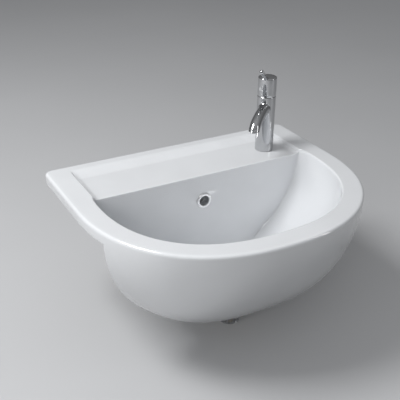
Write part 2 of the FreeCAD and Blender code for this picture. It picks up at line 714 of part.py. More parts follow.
def lever_screw(kit):
    """Grub screw that grips the spindle."""
    rod = kit.lying("2.5", "spindle_width / 2", "8", "0 - index_turn", z="pivot_level + 14")
    key = kit.lying("1.2", "spindle_width / 2 + 5", "8", "0 - index_turn", z="pivot_level + 14")
    return on_deck(kit.cut(rod, key))


def index_cap(kit):
    """Small grey cover over the grub screw."""
    plug = kit.lying("3.6", "tap_radius - 4 + 0.05", "4.2", "0 - index_turn", z="pivot_level + 14")
    face = kit.cylinder("tap_radius + 0.15", "tap_height", "tap_height + cap_height")
    return on_deck(kit.common(plug, face))


def tap_stud(kit):
    """Threaded stud from the body down through the deck."""
    rod = kit.cylinder("stud_width / 2", "tap_bottom - 42", "tap_height - 45", y="stud_place")
    slot = kit.block("stud_width + 4", "1.4", "tap_bottom - 44", "tap_bottom - 39", y="stud_place")
    return on_deck(kit.cut(rod, slot))


def horseshoe(kit, bottom, top):
    """A round plate under the deck with a mouth for the hoses."""
    disc = kit.cylinder("tap_hole / 2 + 6.5", bottom, top)
    long = "(tap_hole + 20)"
    mouth = kit.block("24", long, "(%s) - 1" % bottom, "(%s) + 1" % top, y="-%s / 2 + 4" % long)
    hole = kit.cylinder("stud_width / 2 + gap", "(%s) - 1" % bottom, "(%s) + 1" % top, y="stud_place")
    return on_deck(kit.cut(disc, mouth, hole))


def clamp_gasket(kit):
    """Rubber horseshoe under the deck."""
    return horseshoe(kit, "tap_bottom - 3", "tap_bottom")


def clamp_plate(kit):
    """Steel horseshoe under the gasket."""
    return horseshoe(kit, "tap_bottom - 5.5", "tap_bottom - 3")


def stud_nut(kit):
    """Long nut on the stud."""
    body = kit.hexagon("13", "tap_bottom - 17.5", "tap_bottom - 5.5", y="stud_place")
    hole = kit.cylinder("stud_width / 2 + fit", "tap_bottom - 20", "tap_bottom - 2", y="stud_place")
    return on_deck(kit.cut(body, hole))


# ----------------------------------------------------------------------- whole

FORMED = (basin_body, tap_body, lever_cap)
BOUND = (
    overflow_ring, waste_body, waste_top_seal, waste_bottom_seal, waste_washer,
    waste_backnut, plug_cartridge, plug_stem, plug_cap, plug_seal,
    tap_base_seal, aerator_housing, aerator_insert, tap_cartridge,
    cartridge_nut, tap_dome, cartridge_turret, lever_pin, lever_spindle,
    lever_screw, index_cap, tap_stud, clamp_gasket, clamp_plate, stud_nut,
)


def check(doc, pieces):
    """Stop on any object in error and any sub-part that is not one sound solid."""
    for item in doc.Objects:
        if "Invalid" in item.State or "Error" in item.State:
            raise RuntimeError("not computed: %s %s" % (item.Name, item.State))
    for piece in pieces:
        shape = piece.Shape
        if shape.isNull() or not shape.isValid() or len(shape.Solids) != 1:
            raise RuntimeError("not a sound solid: %s has %d" % (piece.Label, len(shape.Solids)))


def main():
    """Build every sub-part, check them and write one file for each."""
    doc = FreeCAD.newDocument("semi_recessed_basin")
    sheet = make_sheet(doc)
    kit = Kit(doc)
    pieces = []
    for make in FORMED:
        piece = make(kit, reader(sheet))
        piece.Label = make.__name__
        pieces.append(piece)
    for make in BOUND:
        piece = make(kit)
        piece.Label = make.__name__
        pieces.append(piece)
    doc.recompute()
    check(doc, pieces)
    os.makedirs("parts", exist_ok=True)
    for piece in pieces:
        piece.Shape.exportStep("parts/%s.step" % piece.Label)
        box = piece.Shape.BoundBox
        print("%-20s %8.1f cc  x %7.1f %7.1f  y %7.1f %7.1f  z %7.1f %7.1f" % (
            piece.Label, piece.Shape.Volume / 1000,
            box.XMin, box.XMax, box.YMin, box.YMax, box.ZMin, box.ZMax))


main()
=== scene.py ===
"""Looks of the semi recessed basin, its lever tap, its waste and its overflow trim.

Laid out as an add-on and run as a script.  Lengths are metres in the frame of
the CAD model: +Z up, front towards -Y, z = 0 on the counter's top.
"""

import math

import bmesh
import bpy
import numpy as np
from mathutils import Matrix, Vector


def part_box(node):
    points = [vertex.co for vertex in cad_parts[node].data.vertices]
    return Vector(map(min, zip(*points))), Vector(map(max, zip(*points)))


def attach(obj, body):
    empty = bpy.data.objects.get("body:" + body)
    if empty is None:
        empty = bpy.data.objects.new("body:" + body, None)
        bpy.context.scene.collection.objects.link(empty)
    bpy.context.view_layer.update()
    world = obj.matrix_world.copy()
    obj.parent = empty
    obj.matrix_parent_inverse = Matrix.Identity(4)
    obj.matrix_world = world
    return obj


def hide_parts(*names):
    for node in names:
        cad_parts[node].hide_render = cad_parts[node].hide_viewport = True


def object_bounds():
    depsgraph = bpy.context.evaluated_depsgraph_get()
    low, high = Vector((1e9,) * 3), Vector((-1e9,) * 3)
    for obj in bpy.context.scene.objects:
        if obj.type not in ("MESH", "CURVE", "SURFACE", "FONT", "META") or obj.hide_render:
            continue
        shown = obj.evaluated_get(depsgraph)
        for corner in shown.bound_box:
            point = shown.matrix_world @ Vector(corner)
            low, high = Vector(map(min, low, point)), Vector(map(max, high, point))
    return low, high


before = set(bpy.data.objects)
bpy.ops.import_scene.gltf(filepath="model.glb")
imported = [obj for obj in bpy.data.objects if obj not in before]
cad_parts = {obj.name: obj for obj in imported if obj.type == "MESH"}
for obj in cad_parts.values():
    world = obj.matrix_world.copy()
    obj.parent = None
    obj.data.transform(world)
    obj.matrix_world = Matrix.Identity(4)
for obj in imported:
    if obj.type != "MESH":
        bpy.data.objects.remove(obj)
CAD_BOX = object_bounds()

bl_info = {
    "name": "Semi recessed basin",
    "version": (1, 0, 0),
    "blender": (4, 5, 0),
    "location": "3D View > Sidebar > Basin",
    "description": "Builds a semi recessed basin with its tap and waste",
    "category": "Add Mesh",
}


def length(name, default, description):
    """A length property in metres."""
    return bpy.props.FloatProperty(
        name=name, description=description, default=default, unit="LENGTH", precision=5)


def colour(name, default, description):
    """A colour property."""
    return bpy.props.FloatVectorProperty(
        name=name, description=description, default=default,
        subtype="COLOR", size=3, min=0.0, max=1.0)


def number(name, default, description):
    """A plain number."""
    return bpy.props.FloatProperty(name=name, description=description, default=default)


class BasinSizes(bpy.types.PropertyGroup):
    """Sizes of the glazed shell."""

    width: length("Width", 0.550, "Rim from side to side")
    depth: length("Depth", 0.450, "Rim from back edge to front")
    rim: length("Rim height", 0.0205, "Rim top above the counter")
    inset: length("Back inset", 0.015, "Origin in from the rim's back edge")
    counter: length("Counter", 0.274, "Counter's front edge from the rim's back edge")
    bow: length("Bow", 0.273, "Length of the outline's curved front")
    power: number("Outline power", 2.26, "Roundness of the outline, 2 is an ellipse")
    height: length("Bowl height", 0.220, "Rim top to the bottom of the outer curve")
    foot: number("Foot", 0.985, "Part of that height where the bowl is flat")
    corner: length("Back corners", 0.015, "Radius of the rim's back corners")
    edge: length("Outer edge", 0.0055, "Round over of the rim's outer edge")
    lip: length("Lip", 0.0033, "Round over of the bowl's inner edge")
    band_side: length("Rim at the sides", 0.042, "Rim width at the sides")
    band_front: length("Rim at the front", 0.0435, "Rim width at the front")
    band: length("Bearing band", 0.030, "Band under the rim that rests on the counter")
    step: length("Band step", 0.002, "Underside inside the band stands higher by this")
    drop: length("Deck drop", 0.0085, "Tap deck below the rim")
    deck: length("Deck reach", 0.1436, "Deck's front edge from the rim's back edge")
    deck_back: length("Rim behind the deck", 0.027, "Rim width behind the deck")
    shoulder: length("Deck's upper edge", 0.0042, "Round over from the rim down to the deck")
    fade: length("Deck's side cove", 0.012, "Hollow curve between the deck and its sides")
    fade_part: number("Side cove's share", 0.42, "Part of the drop taken by the hollow curve")
    cove: length("Deck's rear cove", 0.034, "Slope between the deck and the rim behind")
    deck_edge: length("Deck edge", 0.0022, "Round over of the deck's front edge")
    inner: length("Bowl depth", 0.206, "Rim top to the bottom of the inner curve")
    narrow: length("Narrowing", 0.0065, "Bowl narrower at its back wall, each side")
    lean: number("Back wall's lean", 0.035, "Forward per downward")
    wall: length("Wall", 0.012, "Thickness of the shell")
    drain: length("Drain reach", 0.255, "Drain's axis from the rim's back edge")
    seat: length("Drain seat", 0.203, "Drain's seat below the rim top")
    boss: length("Boss depth", 0.226, "Underside of the drain's boss below the rim top")
    boss_radius: length("Boss radius", 0.043, "Drain's boss")
    drain_hole: length("Drain hole", 0.023, "Radius of the hole for the waste")
    overflow: length("Overflow depth", 0.063, "Overflow's centre below the rim top")
    overflow_hole: length("Overflow hole", 0.011, "Radius of the hole in the back wall")
    duct_width: length("Duct width", 0.034, "Overflow passage from side to side")
    duct_gap: length("Duct gap", 0.009, "Overflow passage front to back")


class TapSizes(bpy.types.PropertyGroup):
    """Sizes of the lever tap."""

    x: length("Place across", 0.1756, "Tap's axis right of the centre line")
    reach_back: length("Place in depth", 0.0898, "Tap's axis from the rim's back edge")
    hole: length("Tap hole", 0.0175, "Radius of the hole in the deck")
    radius: length("Body radius", 0.019, "Radius of the body")
    height: length("Body height", 0.1185, "Deck to the joint under the lever cap")
    turn: number("Spout's heading", 47.0, "Degrees from the front towards the left")
    reach: length("Spout reach", 0.096, "Tap's axis to the outlet's axis")
    rise: length("Spout rise", 0.094, "Centre line where it leaves the body")
    climb: length("Spout climb", 0.0015, "Lift of the spout's curve over its first half")
    outlet: length("Outlet height", 0.078, "Spout's end above the deck")
    tube: length("Spout radius", 0.011, "Radius of the spout's tube")
    cap: length("Cap height", 0.039, "Height of the lever cap")
    lever_length: length("Lever length", 0.062, "Pin of the lever")
    lever_radius: length("Lever radius", 0.0045, "Pin of the lever")
    lever_slope: number("Lever slope", 32.0, "Degrees above level")
    lift: number("Lift", 20.0, "How far the lever lifts, degrees")
    gap: length("Joint gap", 0.0003, "Air between the body and the cap")


class WasteSizes(bpy.types.PropertyGroup):
    """Sizes of the waste and of the overflow trim."""

    flange: length("Flange radius", 0.032, "Radius of the waste's flange")
    tail: length("Tail radius", 0.02095, "Radius of the threaded tail")
    tail_length: length("Tail length", 0.076, "Tail below the seat")
    pitch: length("Thread pitch", 0.00231, "Pitch of the tail's thread")
    seal: length("Seal", 0.0015, "Thickness of the flat seal")
    trim: length("Trim radius", 0.0160, "Radius of the overflow ring")


class Finishes(bpy.types.PropertyGroup):
    """Colours of the materials and of the stage."""

    glaze: colour("Glaze", (0.745, 0.76, 0.78), "White glaze")
    biscuit: colour("Biscuit", (0.72, 0.69, 0.63), "Unglazed ceramic on the underside")
    chrome: colour("Chrome", (0.57, 0.575, 0.585), "Chromed metal")
    brass: colour("Brass", (0.70, 0.52, 0.25), "Turned brass")
    steel: colour("Steel", (0.55, 0.56, 0.57), "Stainless steel")
    zinc: colour("Zinc", (0.50, 0.52, 0.53), "Zinc plated steel")
    rubber: colour("Rubber", (0.025, 0.025, 0.027), "Black rubber")
    plastic: colour("Plastic", (0.72, 0.72, 0.70), "White plastic")
    satin: colour("Satin chrome", (0.93, 0.94, 0.95), "Overflow ring")
    grey: colour("Grey", (0.42, 0.43, 0.44), "Grey cover")
    floor: colour("Floor", (0.52, 0.525, 0.535), "Studio floor")
    back: colour("Backdrop", (0.14, 0.1414, 0.1442), "Studio background at the horizon")


# ------------------------------------------------------------------ mesh making

UP = np.array((0.0, 0.0, 1.0))
SAME_POINT = 2e-6       # points closer than this are one
NO_LENGTH = 1e-7        # edges shorter than this are taken out
# Edges that turn by more than these angles, in degrees, are shaded crisp.
PLAIN, GLAZED, CAST, THREADED, SIX_SIDED = 38.0, 42.0, 50.0, 30.0, 25.0


def merged_object(name, sheets, materials, sharp=PLAIN, closed=True):
    """One object from grids of points that meet at their borders.

    Each sheet is (points, material number), points having the shape
    (along, across, 3).  Every cell becomes one face; points that coincide are
    merged, so that borders join and a row drawn to one point closes a pole.
    """
    points, faces, slots = [], [], []
    base = 0
    for grid, slot in sheets:
        rows, columns = grid.shape[:2]
        index = base + np.arange(rows * columns).reshape(rows, columns)
        corners = (index[:-1, :-1], index[1:, :-1], index[1:, 1:], index[:-1, 1:])
        points.append(grid.reshape(-1, 3))
        faces.append(np.stack(corners, axis=-1).reshape(-1, 4))
        slots.append(np.full(len(faces[-1]), slot))
        base += rows * columns
    mesh = bpy.data.meshes.new(name)
    mesh.from_pydata(np.concatenate(points).tolist(), [], np.concatenate(faces).tolist())
    for finish in materials:
        mesh.materials.append(finish)
    mesh.polygons.foreach_set("material_index", np.concatenate(slots).astype(np.int32))
    work = bmesh.new()
    work.from_mesh(mesh)
    bmesh.ops.remove_doubles(work, verts=work.verts, dist=SAME_POINT)
    bmesh.ops.dissolve_degenerate(work, edges=work.edges, dist=NO_LENGTH)
    if closed:
        bmesh.ops.recalc_face_normals(work, faces=work.faces)
    work.to_mesh(mesh)
    work.free()
    finish_shading(mesh, sharp)
    piece = bpy.data.objects.new(name, mesh)
    bpy.context.scene.collection.objects.link(piece)
    return piece


def finish_shading(mesh, sharp):
    """Smooth shading with edges sharper than an angle left crisp."""
    mesh.shade_smooth()
    mesh.set_sharp_from_angle(angle=math.radians(sharp))


def sheet_piece(name, grid, finish, sharp=PLAIN):
    """One closed piece from one grid, in a material given by its name."""
    return merged_object(name, [(grid, 0)], [material(finish)], sharp)


def turned_piece(name, profile, finish, centre, count=96, radius=0.0005):
    """One turned piece; its profile starts and ends on the axis or at one point."""
    sheet = turned_sheet(rounded(profile, radius), centre, count=count)
    return sheet_piece(name, sheet, finish)


def carry(piece, body, node, slot=None):
    """Let a piece ride on a body and stand for a CAD node, which it hides; the slot is not used."""
    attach(piece, body)
    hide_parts(node)
    slot or node


def cut_with(piece, cutters, sharp):
    """Take closed cutters out of a closed piece and shade it afresh."""
    for place, cutter in enumerate(cutters):
        modifier = piece.modifiers.new("cut%d" % place, "BOOLEAN")
        modifier.operation = "DIFFERENCE"
        modifier.solver = "EXACT"
        modifier.object = cutter
    graph = bpy.context.evaluated_depsgraph_get()
    mesh = bpy.data.meshes.new_from_object(piece.evaluated_get(graph))
    piece.modifiers.clear()
    piece.data = mesh
    for cutter in cutters:
        bpy.data.objects.remove(cutter)
    finish_shading(mesh, sharp)


# -------------------------------------------------------------- lines and grids

def smooth_step(value):
    """Zero to one with level ends: 3 t^2 - 2 t^3."""
    value = np.clip(value, 0.0, 1.0)
    return value * value * (3 - 2 * value)


def eased_step(t):
    """0 to 1 with a very soft start and end: 6 t^5 - 15 t^4 + 10 t^3."""
    t = np.clip(t, 0, 1)
    return t ** 3 * (t * (6 * t - 15) + 10)


def eased(count, start, end, bias):
    """Numbers between two ends, closer together near both of them.

    start + (end - start) ((1 - bias) t + bias (3 t^2 - 2 t^3)).
    """
    t = np.linspace(0, 1, count)
    return start + (end - start) * ((1 - bias) * t + bias * smooth_step(t))


def full_turn(count):
    """Angles once round, in so many steps."""
    return np.linspace(0, 2 * np.pi, count + 1)


def quarter_turn(count):
    """So many angles from 0 to 90 degrees."""
    return np.linspace(0, np.pi / 2, count)


def heading_of(angle):
    """Unit vectors in plan from angles: (cos a, sin a)."""
    return np.stack((np.cos(angle), np.sin(angle)), axis=-1)


def stack(x, y, z):
    """Points from three arrays that share or can share one shape."""
    return np.stack(np.broadcast_arrays(x, y, z), axis=-1)


def run_along(x, y):
    """Length along a line up to each of its points, the sum of its steps."""
    return np.concatenate(([0], np.cumsum(np.hypot(np.diff(x), np.diff(y)))))


def by_arc_length(x, y, fine, count):
    """Places on a finely sampled line that divide its length evenly."""
    run = run_along(x, y)
    return np.interp(np.linspace(0, run[-1], count), run, fine)


def axes_of(direction):
    """A direction and two unit vectors across it."""
    direction = np.asarray(direction, float) / np.linalg.norm(direction)
    side = np.cross(direction, UP)
    if np.linalg.norm(side) < 1e-6:
        side = np.array((1.0, 0.0, 0.0))
    side = side / np.linalg.norm(side)
    return direction, side, np.cross(side, direction)


def rounded(profile, radius=0.0005, steps=4):
    """A line of (radius, height) points with its inner corners rounded.

    Each corner becomes a short curve between the points a radius away on its
    two runs, or 45% of the shorter run: p = (1-t)^2 a + 2t(1-t) corner + t^2 b.
    """
    line = np.asarray(profile, float)
    out = [line[:1]]
    t = np.linspace(0, 1, steps + 1)[:, None]
    for before, corner, after in zip(line[:-2], line[1:-1], line[2:]):
        first, second = before - corner, after - corner
        long_first, long_second = np.linalg.norm(first), np.linalg.norm(second)
        take = min(radius, 0.45 * long_first, 0.45 * long_second)
        start = corner + first / long_first * take
        end = corner + second / long_second * take
        out.append((1 - t) ** 2 * start + 2 * t * (1 - t) * corner + t ** 2 * end)
    out.append(line[-1:])
    return np.concatenate(out)


def round_bar(radius, start, end):
    """Profile of a solid round bar."""
    return [(0, start), (radius, start), (radius, end), (0, end)]


def round_ring(inner, outer, low, high):
    """Closed profile of a plain ring."""
    return [(inner, low), (inner, high), (outer, high), (outer, low), (inner, low)]


def turned_sheet(profile, centre=(0, 0, 0), direction=(0, 0, 1), count=96):
    """A profile of (radius, height) points carried round an axis.

    Point = centre + radius (cos a side + sin a other) + height axis.
    """
    axis, side, other = axes_of(direction)
    profile = np.asarray(profile, float)
    angle = full_turn(count)[:, None, None]
    radius, height = profile[None, :, :1], profile[None, :, 1:]
    ring = np.cos(angle) * side + np.sin(angle) * other
    grid = np.asarray(centre, float) + radius * ring + height * axis
    grid[-1] = grid[0]
    return grid


def upright_sheet(centre, angle, reach, level):
    """A closed grid about an upright axis: centre + reach (cos a, sin a), z = level."""
    x, y = centre[0] + reach * np.cos(angle), centre[1] + reach * np.sin(angle)
    grid = stack(x, y, level)
    grid[-1] = grid[0]
    return grid


def tube_sheet(line, radius, across, up=None, count=64):
    """A round tube along a flat line; radius may change on the way.

    Each ring is centre + r (cos a side + sin a up), up being square to the
    line's heading and to the side unless it is given.
    """
    if up is None:
        heading = np.gradient(line, axis=0)
        heading /= np.linalg.norm(heading, axis=1)[:, None]
        up = np.cross(across, heading)
    angle = full_turn(count)[None, :, None]
    ring = np.cos(angle) * across + np.sin(angle) * up[:, None, :]
    grid = line[:, None, :] + np.asarray(radius)[:, None, None] * ring
    grid[:, -1] = grid[:, 0]
    return grid


def block_sheet(low, high, corner, steps=5):
    """A box with its four upright edges rounded, as one closed grid.

    Each level line is the inner rectangle pushed out by the corner's radius.
    """
    low, high = np.asarray(low, float), np.asarray(high, float)
    turn = quarter_turn(steps + 1)
    line = []
    for quarter, (sx, sy) in enumerate(((1, 1), (-1, 1), (-1, -1), (1, -1))):
        middle = np.where((sx > 0, sy > 0), high[:2] - corner, low[:2] + corner)
        angle = turn + quarter * np.pi / 2
        line.append(middle + corner * heading_of(angle))
    line = np.concatenate(line + [line[0][:1]])
    hub = (low[:2] + high[:2]) / 2
    rings = [np.column_stack((hub + (line - hub) * share, np.full(len(line), level)))
             for share, level in ((0, low[2]), (1, low[2]), (1, high[2]), (0, high[2]))]
    return np.stack(rings, axis=1)


# --------------------------------------------------------------- basin surfaces

def signed_power(value, power):
    """A power that keeps its sign: sign(v) |v|^power."""
    return np.sign(value) * np.abs(value) ** power


def arch(angle, half, front, rear, centre, power):
    """x = a cos(p)^(2/n), y = centre - b sin(p)^(2/n), b being another behind the centre."""
    across, along = np.cos(angle), np.sin(angle)
    reach = np.where(along > 0, front, rear)
    x = half * signed_power(across, 2 / power)
    y = centre - reach * signed_power(along, 2 / power)
    return x, y


class Outside:
    """The outer level lines, which shrink with the part p of the height below the rim.

    Half width = width / 2 (1 - p^2.10)^(1/3.28), front length =
    bow (1 - p^1.08)^(1/4.93), power of the outline = power at the rim + 0.59 p.
    """

    SIDE = (2.10, 1 / 3.28)
    FRONT = (1.08, 1 / 4.93)
    SQUARER = 0.59

    def __init__(self, s):
        self.s = s
        self.centre = s.inset - (s.depth - s.bow)
        self.shoulder = s.inset - s.counter

    def sizes(self, part):
        """Half width, front length and power of the level line at a part of the height."""
        side, front = ((1 - part ** first) ** second for first, second in (self.SIDE, self.FRONT))
        return self.s.width / 2 * side, self.s.bow * front, self.s.power + self.SQUARER * part

    def shoulder_angle(self, part):
        """Angle at which the level line crosses the counter's front edge.

        Its sine is ((centre - shoulder) / front length)^(power / 2).
        """
        _, front, power = self.sizes(part)
        return np.arcsin(((self.centre - self.shoulder) / front) ** (power / 2))

    def points(self, place, part):
        """Points of a level line.

        Place runs 0..1 to the right shoulder, 1..2 round the front, 2..3 back.
        """
        half, front, power = self.sizes(part)
        turn = self.shoulder_angle(part)
        round_front = turn + (np.pi - 2 * turn) * (place - 1)
        left = np.pi - turn * (3 - place)
        angle = np.where(place < 1, turn * place, np.where(place < 2, round_front, left))
        return arch(angle, half, front, front, self.centre, power)


class Inside:
    """The bowl's level lines, or with a growth those of its shell's outside.

    With the sink t = depth / whole depth, half width = top (1 - t^2)^(1/2),
    front length = top (1 - t^2.3)^(1/2.3) and the centre nears the drain as
    t^3.  The back wall leans forward by lean t and its foot turns in by
    0.06 t^14; the growth is added to each.
    """

    DEEPEST = 0.9999        # the lines end before they shrink to a point
    FRONT = 2.3             # power of the front's curve in section
    DRIFT = 3               # power with which the centre nears the drain
    TURN_IN = (0.06, 14)    # how far the back wall's foot turns in, and how late
    PLAN = (2.4, 0.3)       # the outline's power at the top, and how much it loses

    def __init__(self, s, grow):
        self.s = s
        self.grow = grow
        self.half_top = s.width / 2 - s.band_side
        self.centre_top = s.inset - (s.depth - s.bow)
        self.front_top = s.bow - s.band_front
        self.back_top = s.inset - s.deck
        self.drain_y = s.inset - s.drain

    def sizes(self, depth):
        """Two groups of sizes of the level line at a depth.

        First half width, front and rear lengths, centre and power, as arch
        takes them; then x, y and the arch's angle of the right back corner.
        """
        s = self.s
        sink = np.clip(depth / (s.inner + self.grow), 0, self.DEEPEST)
        narrow = np.sqrt(1 - sink ** 2)
        half = self.half_top * narrow + self.grow
        front = self.front_top * (1 - sink ** self.FRONT) ** (1 / self.FRONT) + self.grow
        centre = self.centre_top + (self.drain_y - self.centre_top) * sink ** self.DRIFT
        far, late = self.TURN_IN
        back = self.back_top - s.lean * s.inner * sink - far * sink ** late + self.grow
        at_back = half - s.narrow * narrow ** 0.5
        top_power, loss = self.PLAN
        power = top_power - loss * sink ** 2
        share = 1 - (at_back / half) ** power
        rear = (back - centre) / share ** (1 / power)
        return (half, front, rear, centre, power), (at_back, back, -np.arcsin(np.sqrt(share)))

    def curved(self, place, depth):
        """Points of the rounded part; place 0 is the right back corner and 1 the left one."""
        ellipse, (_, _, first) = self.sizes(depth)
        return arch(first + (np.pi - 2 * first) * place, *ellipse)

    def straight(self, place, depth):
        """Points of the back wall's line; place 0 is its left end and 1 its right."""
        at_back, back, _ = self.sizes(depth)[1]
        return at_back * (2 * place - 1), back + 0 * place

    def shoulder_place(self, depth, shoulder):
        """Place on the rounded part, right side, where it crosses a line across.

        (a - first) / (180 degrees - 2 first), with sin a as in shoulder_angle.
        """
        (_, front, _, centre, power), (_, _, first) = self.sizes(depth)
        angle = np.arcsin(((centre - shoulder) / front) ** (power / 2))
        return (angle - first) / (np.pi - 2 * first)


class Shell:
    """The glazed shell as grids that meet at their borders.

    The ring is the rim from the deck's front line on the right, round the front
    to the left.  The block is all behind that line, in rows towards the back.
    """

    RIM_STEPS = np.array((0, 0.04, 0.1, 0.18, 0.28, 0.38, 0.5, 0.62, 0.74, 0.86, 0.94, 1.0))
    AROUND = (16, 120, 16)  # points to the right shoulder, round the front, and back
    SIDE_POINTS = 8         # points on the straight side ahead of the deck's line
    ROUND_POINTS = 9        # points on each rounded back corner
    OUT_COLUMNS = 8         # steps out to past the lip, and from there to the outer edge
    COVE_COLUMNS = (15, 1.4)    # columns of a side cove; power that crowds them to its top
    FLAT = (34, 63)         # rows and columns of the level part of the deck
    EDGE_STEPS = 7          # angles of the two outer round overs
    FINE, BOWL_FINE = 3001, 4001    # samples for dividing the outer and the inner line
    HEIGHTS = 52            # level lines of the outer bowl
    DEPTHS = 64             # level lines of the inner bowl
    BLEND = 0.022           # run in which the deck's cove becomes the bowl's lip
    PAST_LIP = 0.001        # columns keep their distance this far past the lip
    COVE_PAST = 0.008       # the rear cove ends this far behind the rim's inner line
    BOWL_TURN = math.radians(75)    # turn of the bowl's section where its floor starts
    SUNK = 0.034            # radius of the sunk seat round the drain
    STEP_RUN = 0.0006       # run of the step inside the bearing band

    def __init__(self, s):
        self.s = s
        self.outer = Outside(s)
        self.inner = Inside(s, 0.0)
        self.jacket = Inside(s, s.wall)
        self.deck_z = s.rim - s.drop
        self.low_lip = (s.drop + s.deck_edge) * (1 - s.fade_part)
        self.corner_x, self.deck_y = (float(x) for x in self.inner.sizes(self.low_lip)[1][:2])
        self.edge_part = s.edge / s.height
        self.half = float(self.outer.sizes(self.edge_part)[0])
        self.band_part = s.rim / s.height
        self.set_ring()
        self.set_block()

    def set_ring(self):
        """Where the ring's columns stand, on the outer outline and on the bowl's edge."""
        s = self.s
        fine = np.linspace(0, 3, self.FINE)
        x, y = self.outer.points(fine, self.edge_part)
        parts = []
        for start, count in enumerate(self.AROUND):
            chosen = (fine >= start) & (fine <= start + 1)
            parts.append(by_arc_length(x[chosen], y[chosen], fine[chosen], count + 1)[:-1])
        self.around = np.concatenate(parts + [[3.0]])
        self.side_y = np.linspace(self.deck_y, self.outer.centre, self.SIDE_POINTS + 1)[:-1]
        side_x = np.full(self.SIDE_POINTS, x[0])
        x, y = self.outer.points(self.around, self.edge_part)
        run = run_along(np.concatenate((side_x, x, -side_x)),
                        np.concatenate((self.side_y, y, self.side_y[::-1])))
        run = run / run[-1]
        fine = np.linspace(0, 1, self.BOWL_FINE)
        bowl_run = run_along(*self.inner.curved(fine, s.lip))
        self.bowl_place = np.interp(run * bowl_run[-1], bowl_run, fine)
        forward = self.deck_y - self.inner.curved(self.bowl_place, s.lip)[1]
        self.front_share = smooth_step(forward / self.BLEND)
        self.lip_depth = self.low_lip + (s.lip - self.low_lip) * self.front_share

    def set_block(self):
        """Where the block's columns and rows stand, and how far each row reaches."""
        s = self.s
        wider = np.linspace(s.shoulder, s.lip + self.PAST_LIP, self.OUT_COLUMNS)[1:]
        full = np.linspace(wider[-1], self.half - s.edge - self.corner_x, self.OUT_COLUMNS)[1:]
        self.away = np.concatenate((s.shoulder * self.RIM_STEPS, wider, full))
        count, crowd = self.COVE_COLUMNS
        inward = s.fade * np.linspace(0, 1.05, count) ** crowd
        flat_x = self.corner_x - inward[-1]
        rows, count = self.FLAT
        flat = np.linspace(-flat_x, flat_x, count)[1:-1]
        middle = np.concatenate((inward - self.corner_x, flat, self.corner_x - inward[::-1]))
        beside = self.corner_x + self.away
        self.block_x = np.concatenate((-beside[:0:-1], middle, beside[1:]))
        self.middle = slice(len(self.away) - 1, len(self.away) - 1 + len(middle))
        self.floor_edge = s.inset - s.deck_back - s.cove + self.COVE_PAST
        turn = quarter_turn(self.ROUND_POINTS)
        small = s.corner - s.edge
        lip_rows = self.deck_y + s.deck_edge * (1 - np.cos(quarter_turn(self.EDGE_STEPS)))
        flat_rows = np.linspace(lip_rows[-1], self.floor_edge, rows)[1:-1]
        cove_rows = self.floor_edge + s.cove * self.RIM_STEPS
        corner_rows = (s.inset - s.corner) + small * np.sin(turn)
        rim_rows = np.linspace(cove_rows[-1], corner_rows[0], 3)[1:-1]
        self.block_y = np.concatenate((lip_rows, flat_rows, cove_rows, rim_rows, corner_rows))
        self.block_reach = np.full(len(self.block_y), self.half - s.edge)
        self.block_reach[-self.ROUND_POINTS:] = self.half - s.corner + small * np.cos(turn)

    def rise(self, out):
        """Share of the deck's drop regained at a distance outside the bowl's side.

        Inside it is part (1 - distance / fade)^2.2, outside it grows to one as
        1 - (1 - part) (1 - distance / shoulder)^2.
        """
        s = self.s
        hollow = s.fade_part * np.clip(1 + out / s.fade, 0, 1) ** 2.2
        shoulder = 1 - (1 - s.fade_part) * (1 - np.clip(out / s.shoulder, 0, 1)) ** 2
        return np.where(out < 0, hollow, shoulder)

    def deck_height(self, x, y):
        """Height of the block: deck, its coves up to the rim and its rounded front edge.

        z = deck + drop (1 - (1 - aside) (1 - behind)), less what a quarter
        circle takes off along the front: edge - sqrt(edge^2 - short^2).
        """
        s = self.s
        aside = self.rise(np.abs(x) - self.corner_x)
        behind = eased_step((y - self.floor_edge) / s.cove)
        level = self.deck_z + s.drop * (1 - (1 - aside) * (1 - behind))
        short = np.clip(s.deck_edge - (y - self.deck_y), 0, s.deck_edge)
        return level - (s.deck_edge - np.sqrt(s.deck_edge ** 2 - short ** 2)) * (1 - aside)

    def columns(self, reach):
        """The block's columns, those beside the deck drawn in to end at a half width.

        Past the core x = core + (x - core) (reach - core) / (widest - core).
        """
        s = self.s
        core = self.corner_x + s.shoulder
        spread = (reach - core) / (self.half - s.edge - core)
        x = self.block_x * np.ones_like(spread)
        return np.where(np.abs(x) > core, np.sign(x) * (core + (np.abs(x) - core) * spread), x)

    def block(self):
        """Top of the block, row by row towards the back."""
        x, y = self.columns(self.block_reach[:, None]), self.block_y[:, None]
        return stack(x, y, self.deck_height(x, y))

    def outline(self, part):
        """The whole outer outline at a part of the height, as points in order.

        Right side from the deck's line, round the front, left side, left
        back corner, back edge, right back corner and right side again.
        """
        s = self.s
        x, y = self.outer.points(self.around, part)
        half = self.outer.sizes(part)[0]
        scale = half / self.half
        side_x = np.full(self.SIDE_POINTS, half)
        ring_x = np.concatenate((side_x, x, -side_x))
        ring_y = np.concatenate((self.side_y, y, self.side_y[::-1]))
        reach, rows = self.block_reach + s.edge, self.block_y.copy()
        last = slice(-self.ROUND_POINTS, None)
        hub_x, hub_y = self.half - s.corner, s.inset - s.corner
        grow = s.corner / (s.corner - s.edge)
        reach[last] = hub_x + (self.block_reach[last] - hub_x) * grow
        rows[last] = hub_y + (rows[last] - hub_y) * grow
        back_x = self.columns(self.block_reach[-1])[1:-1]
        back_y = np.full(len(back_x), s.inset)
        all_x = (ring_x, -reach[1:] * scale, back_x * scale, reach[:0:-1] * scale, ring_x[:1])
        all_y = (ring_y, rows[1:], back_y, rows[:0:-1], ring_y[:1])
        return np.concatenate(all_x), np.concatenate(all_y)

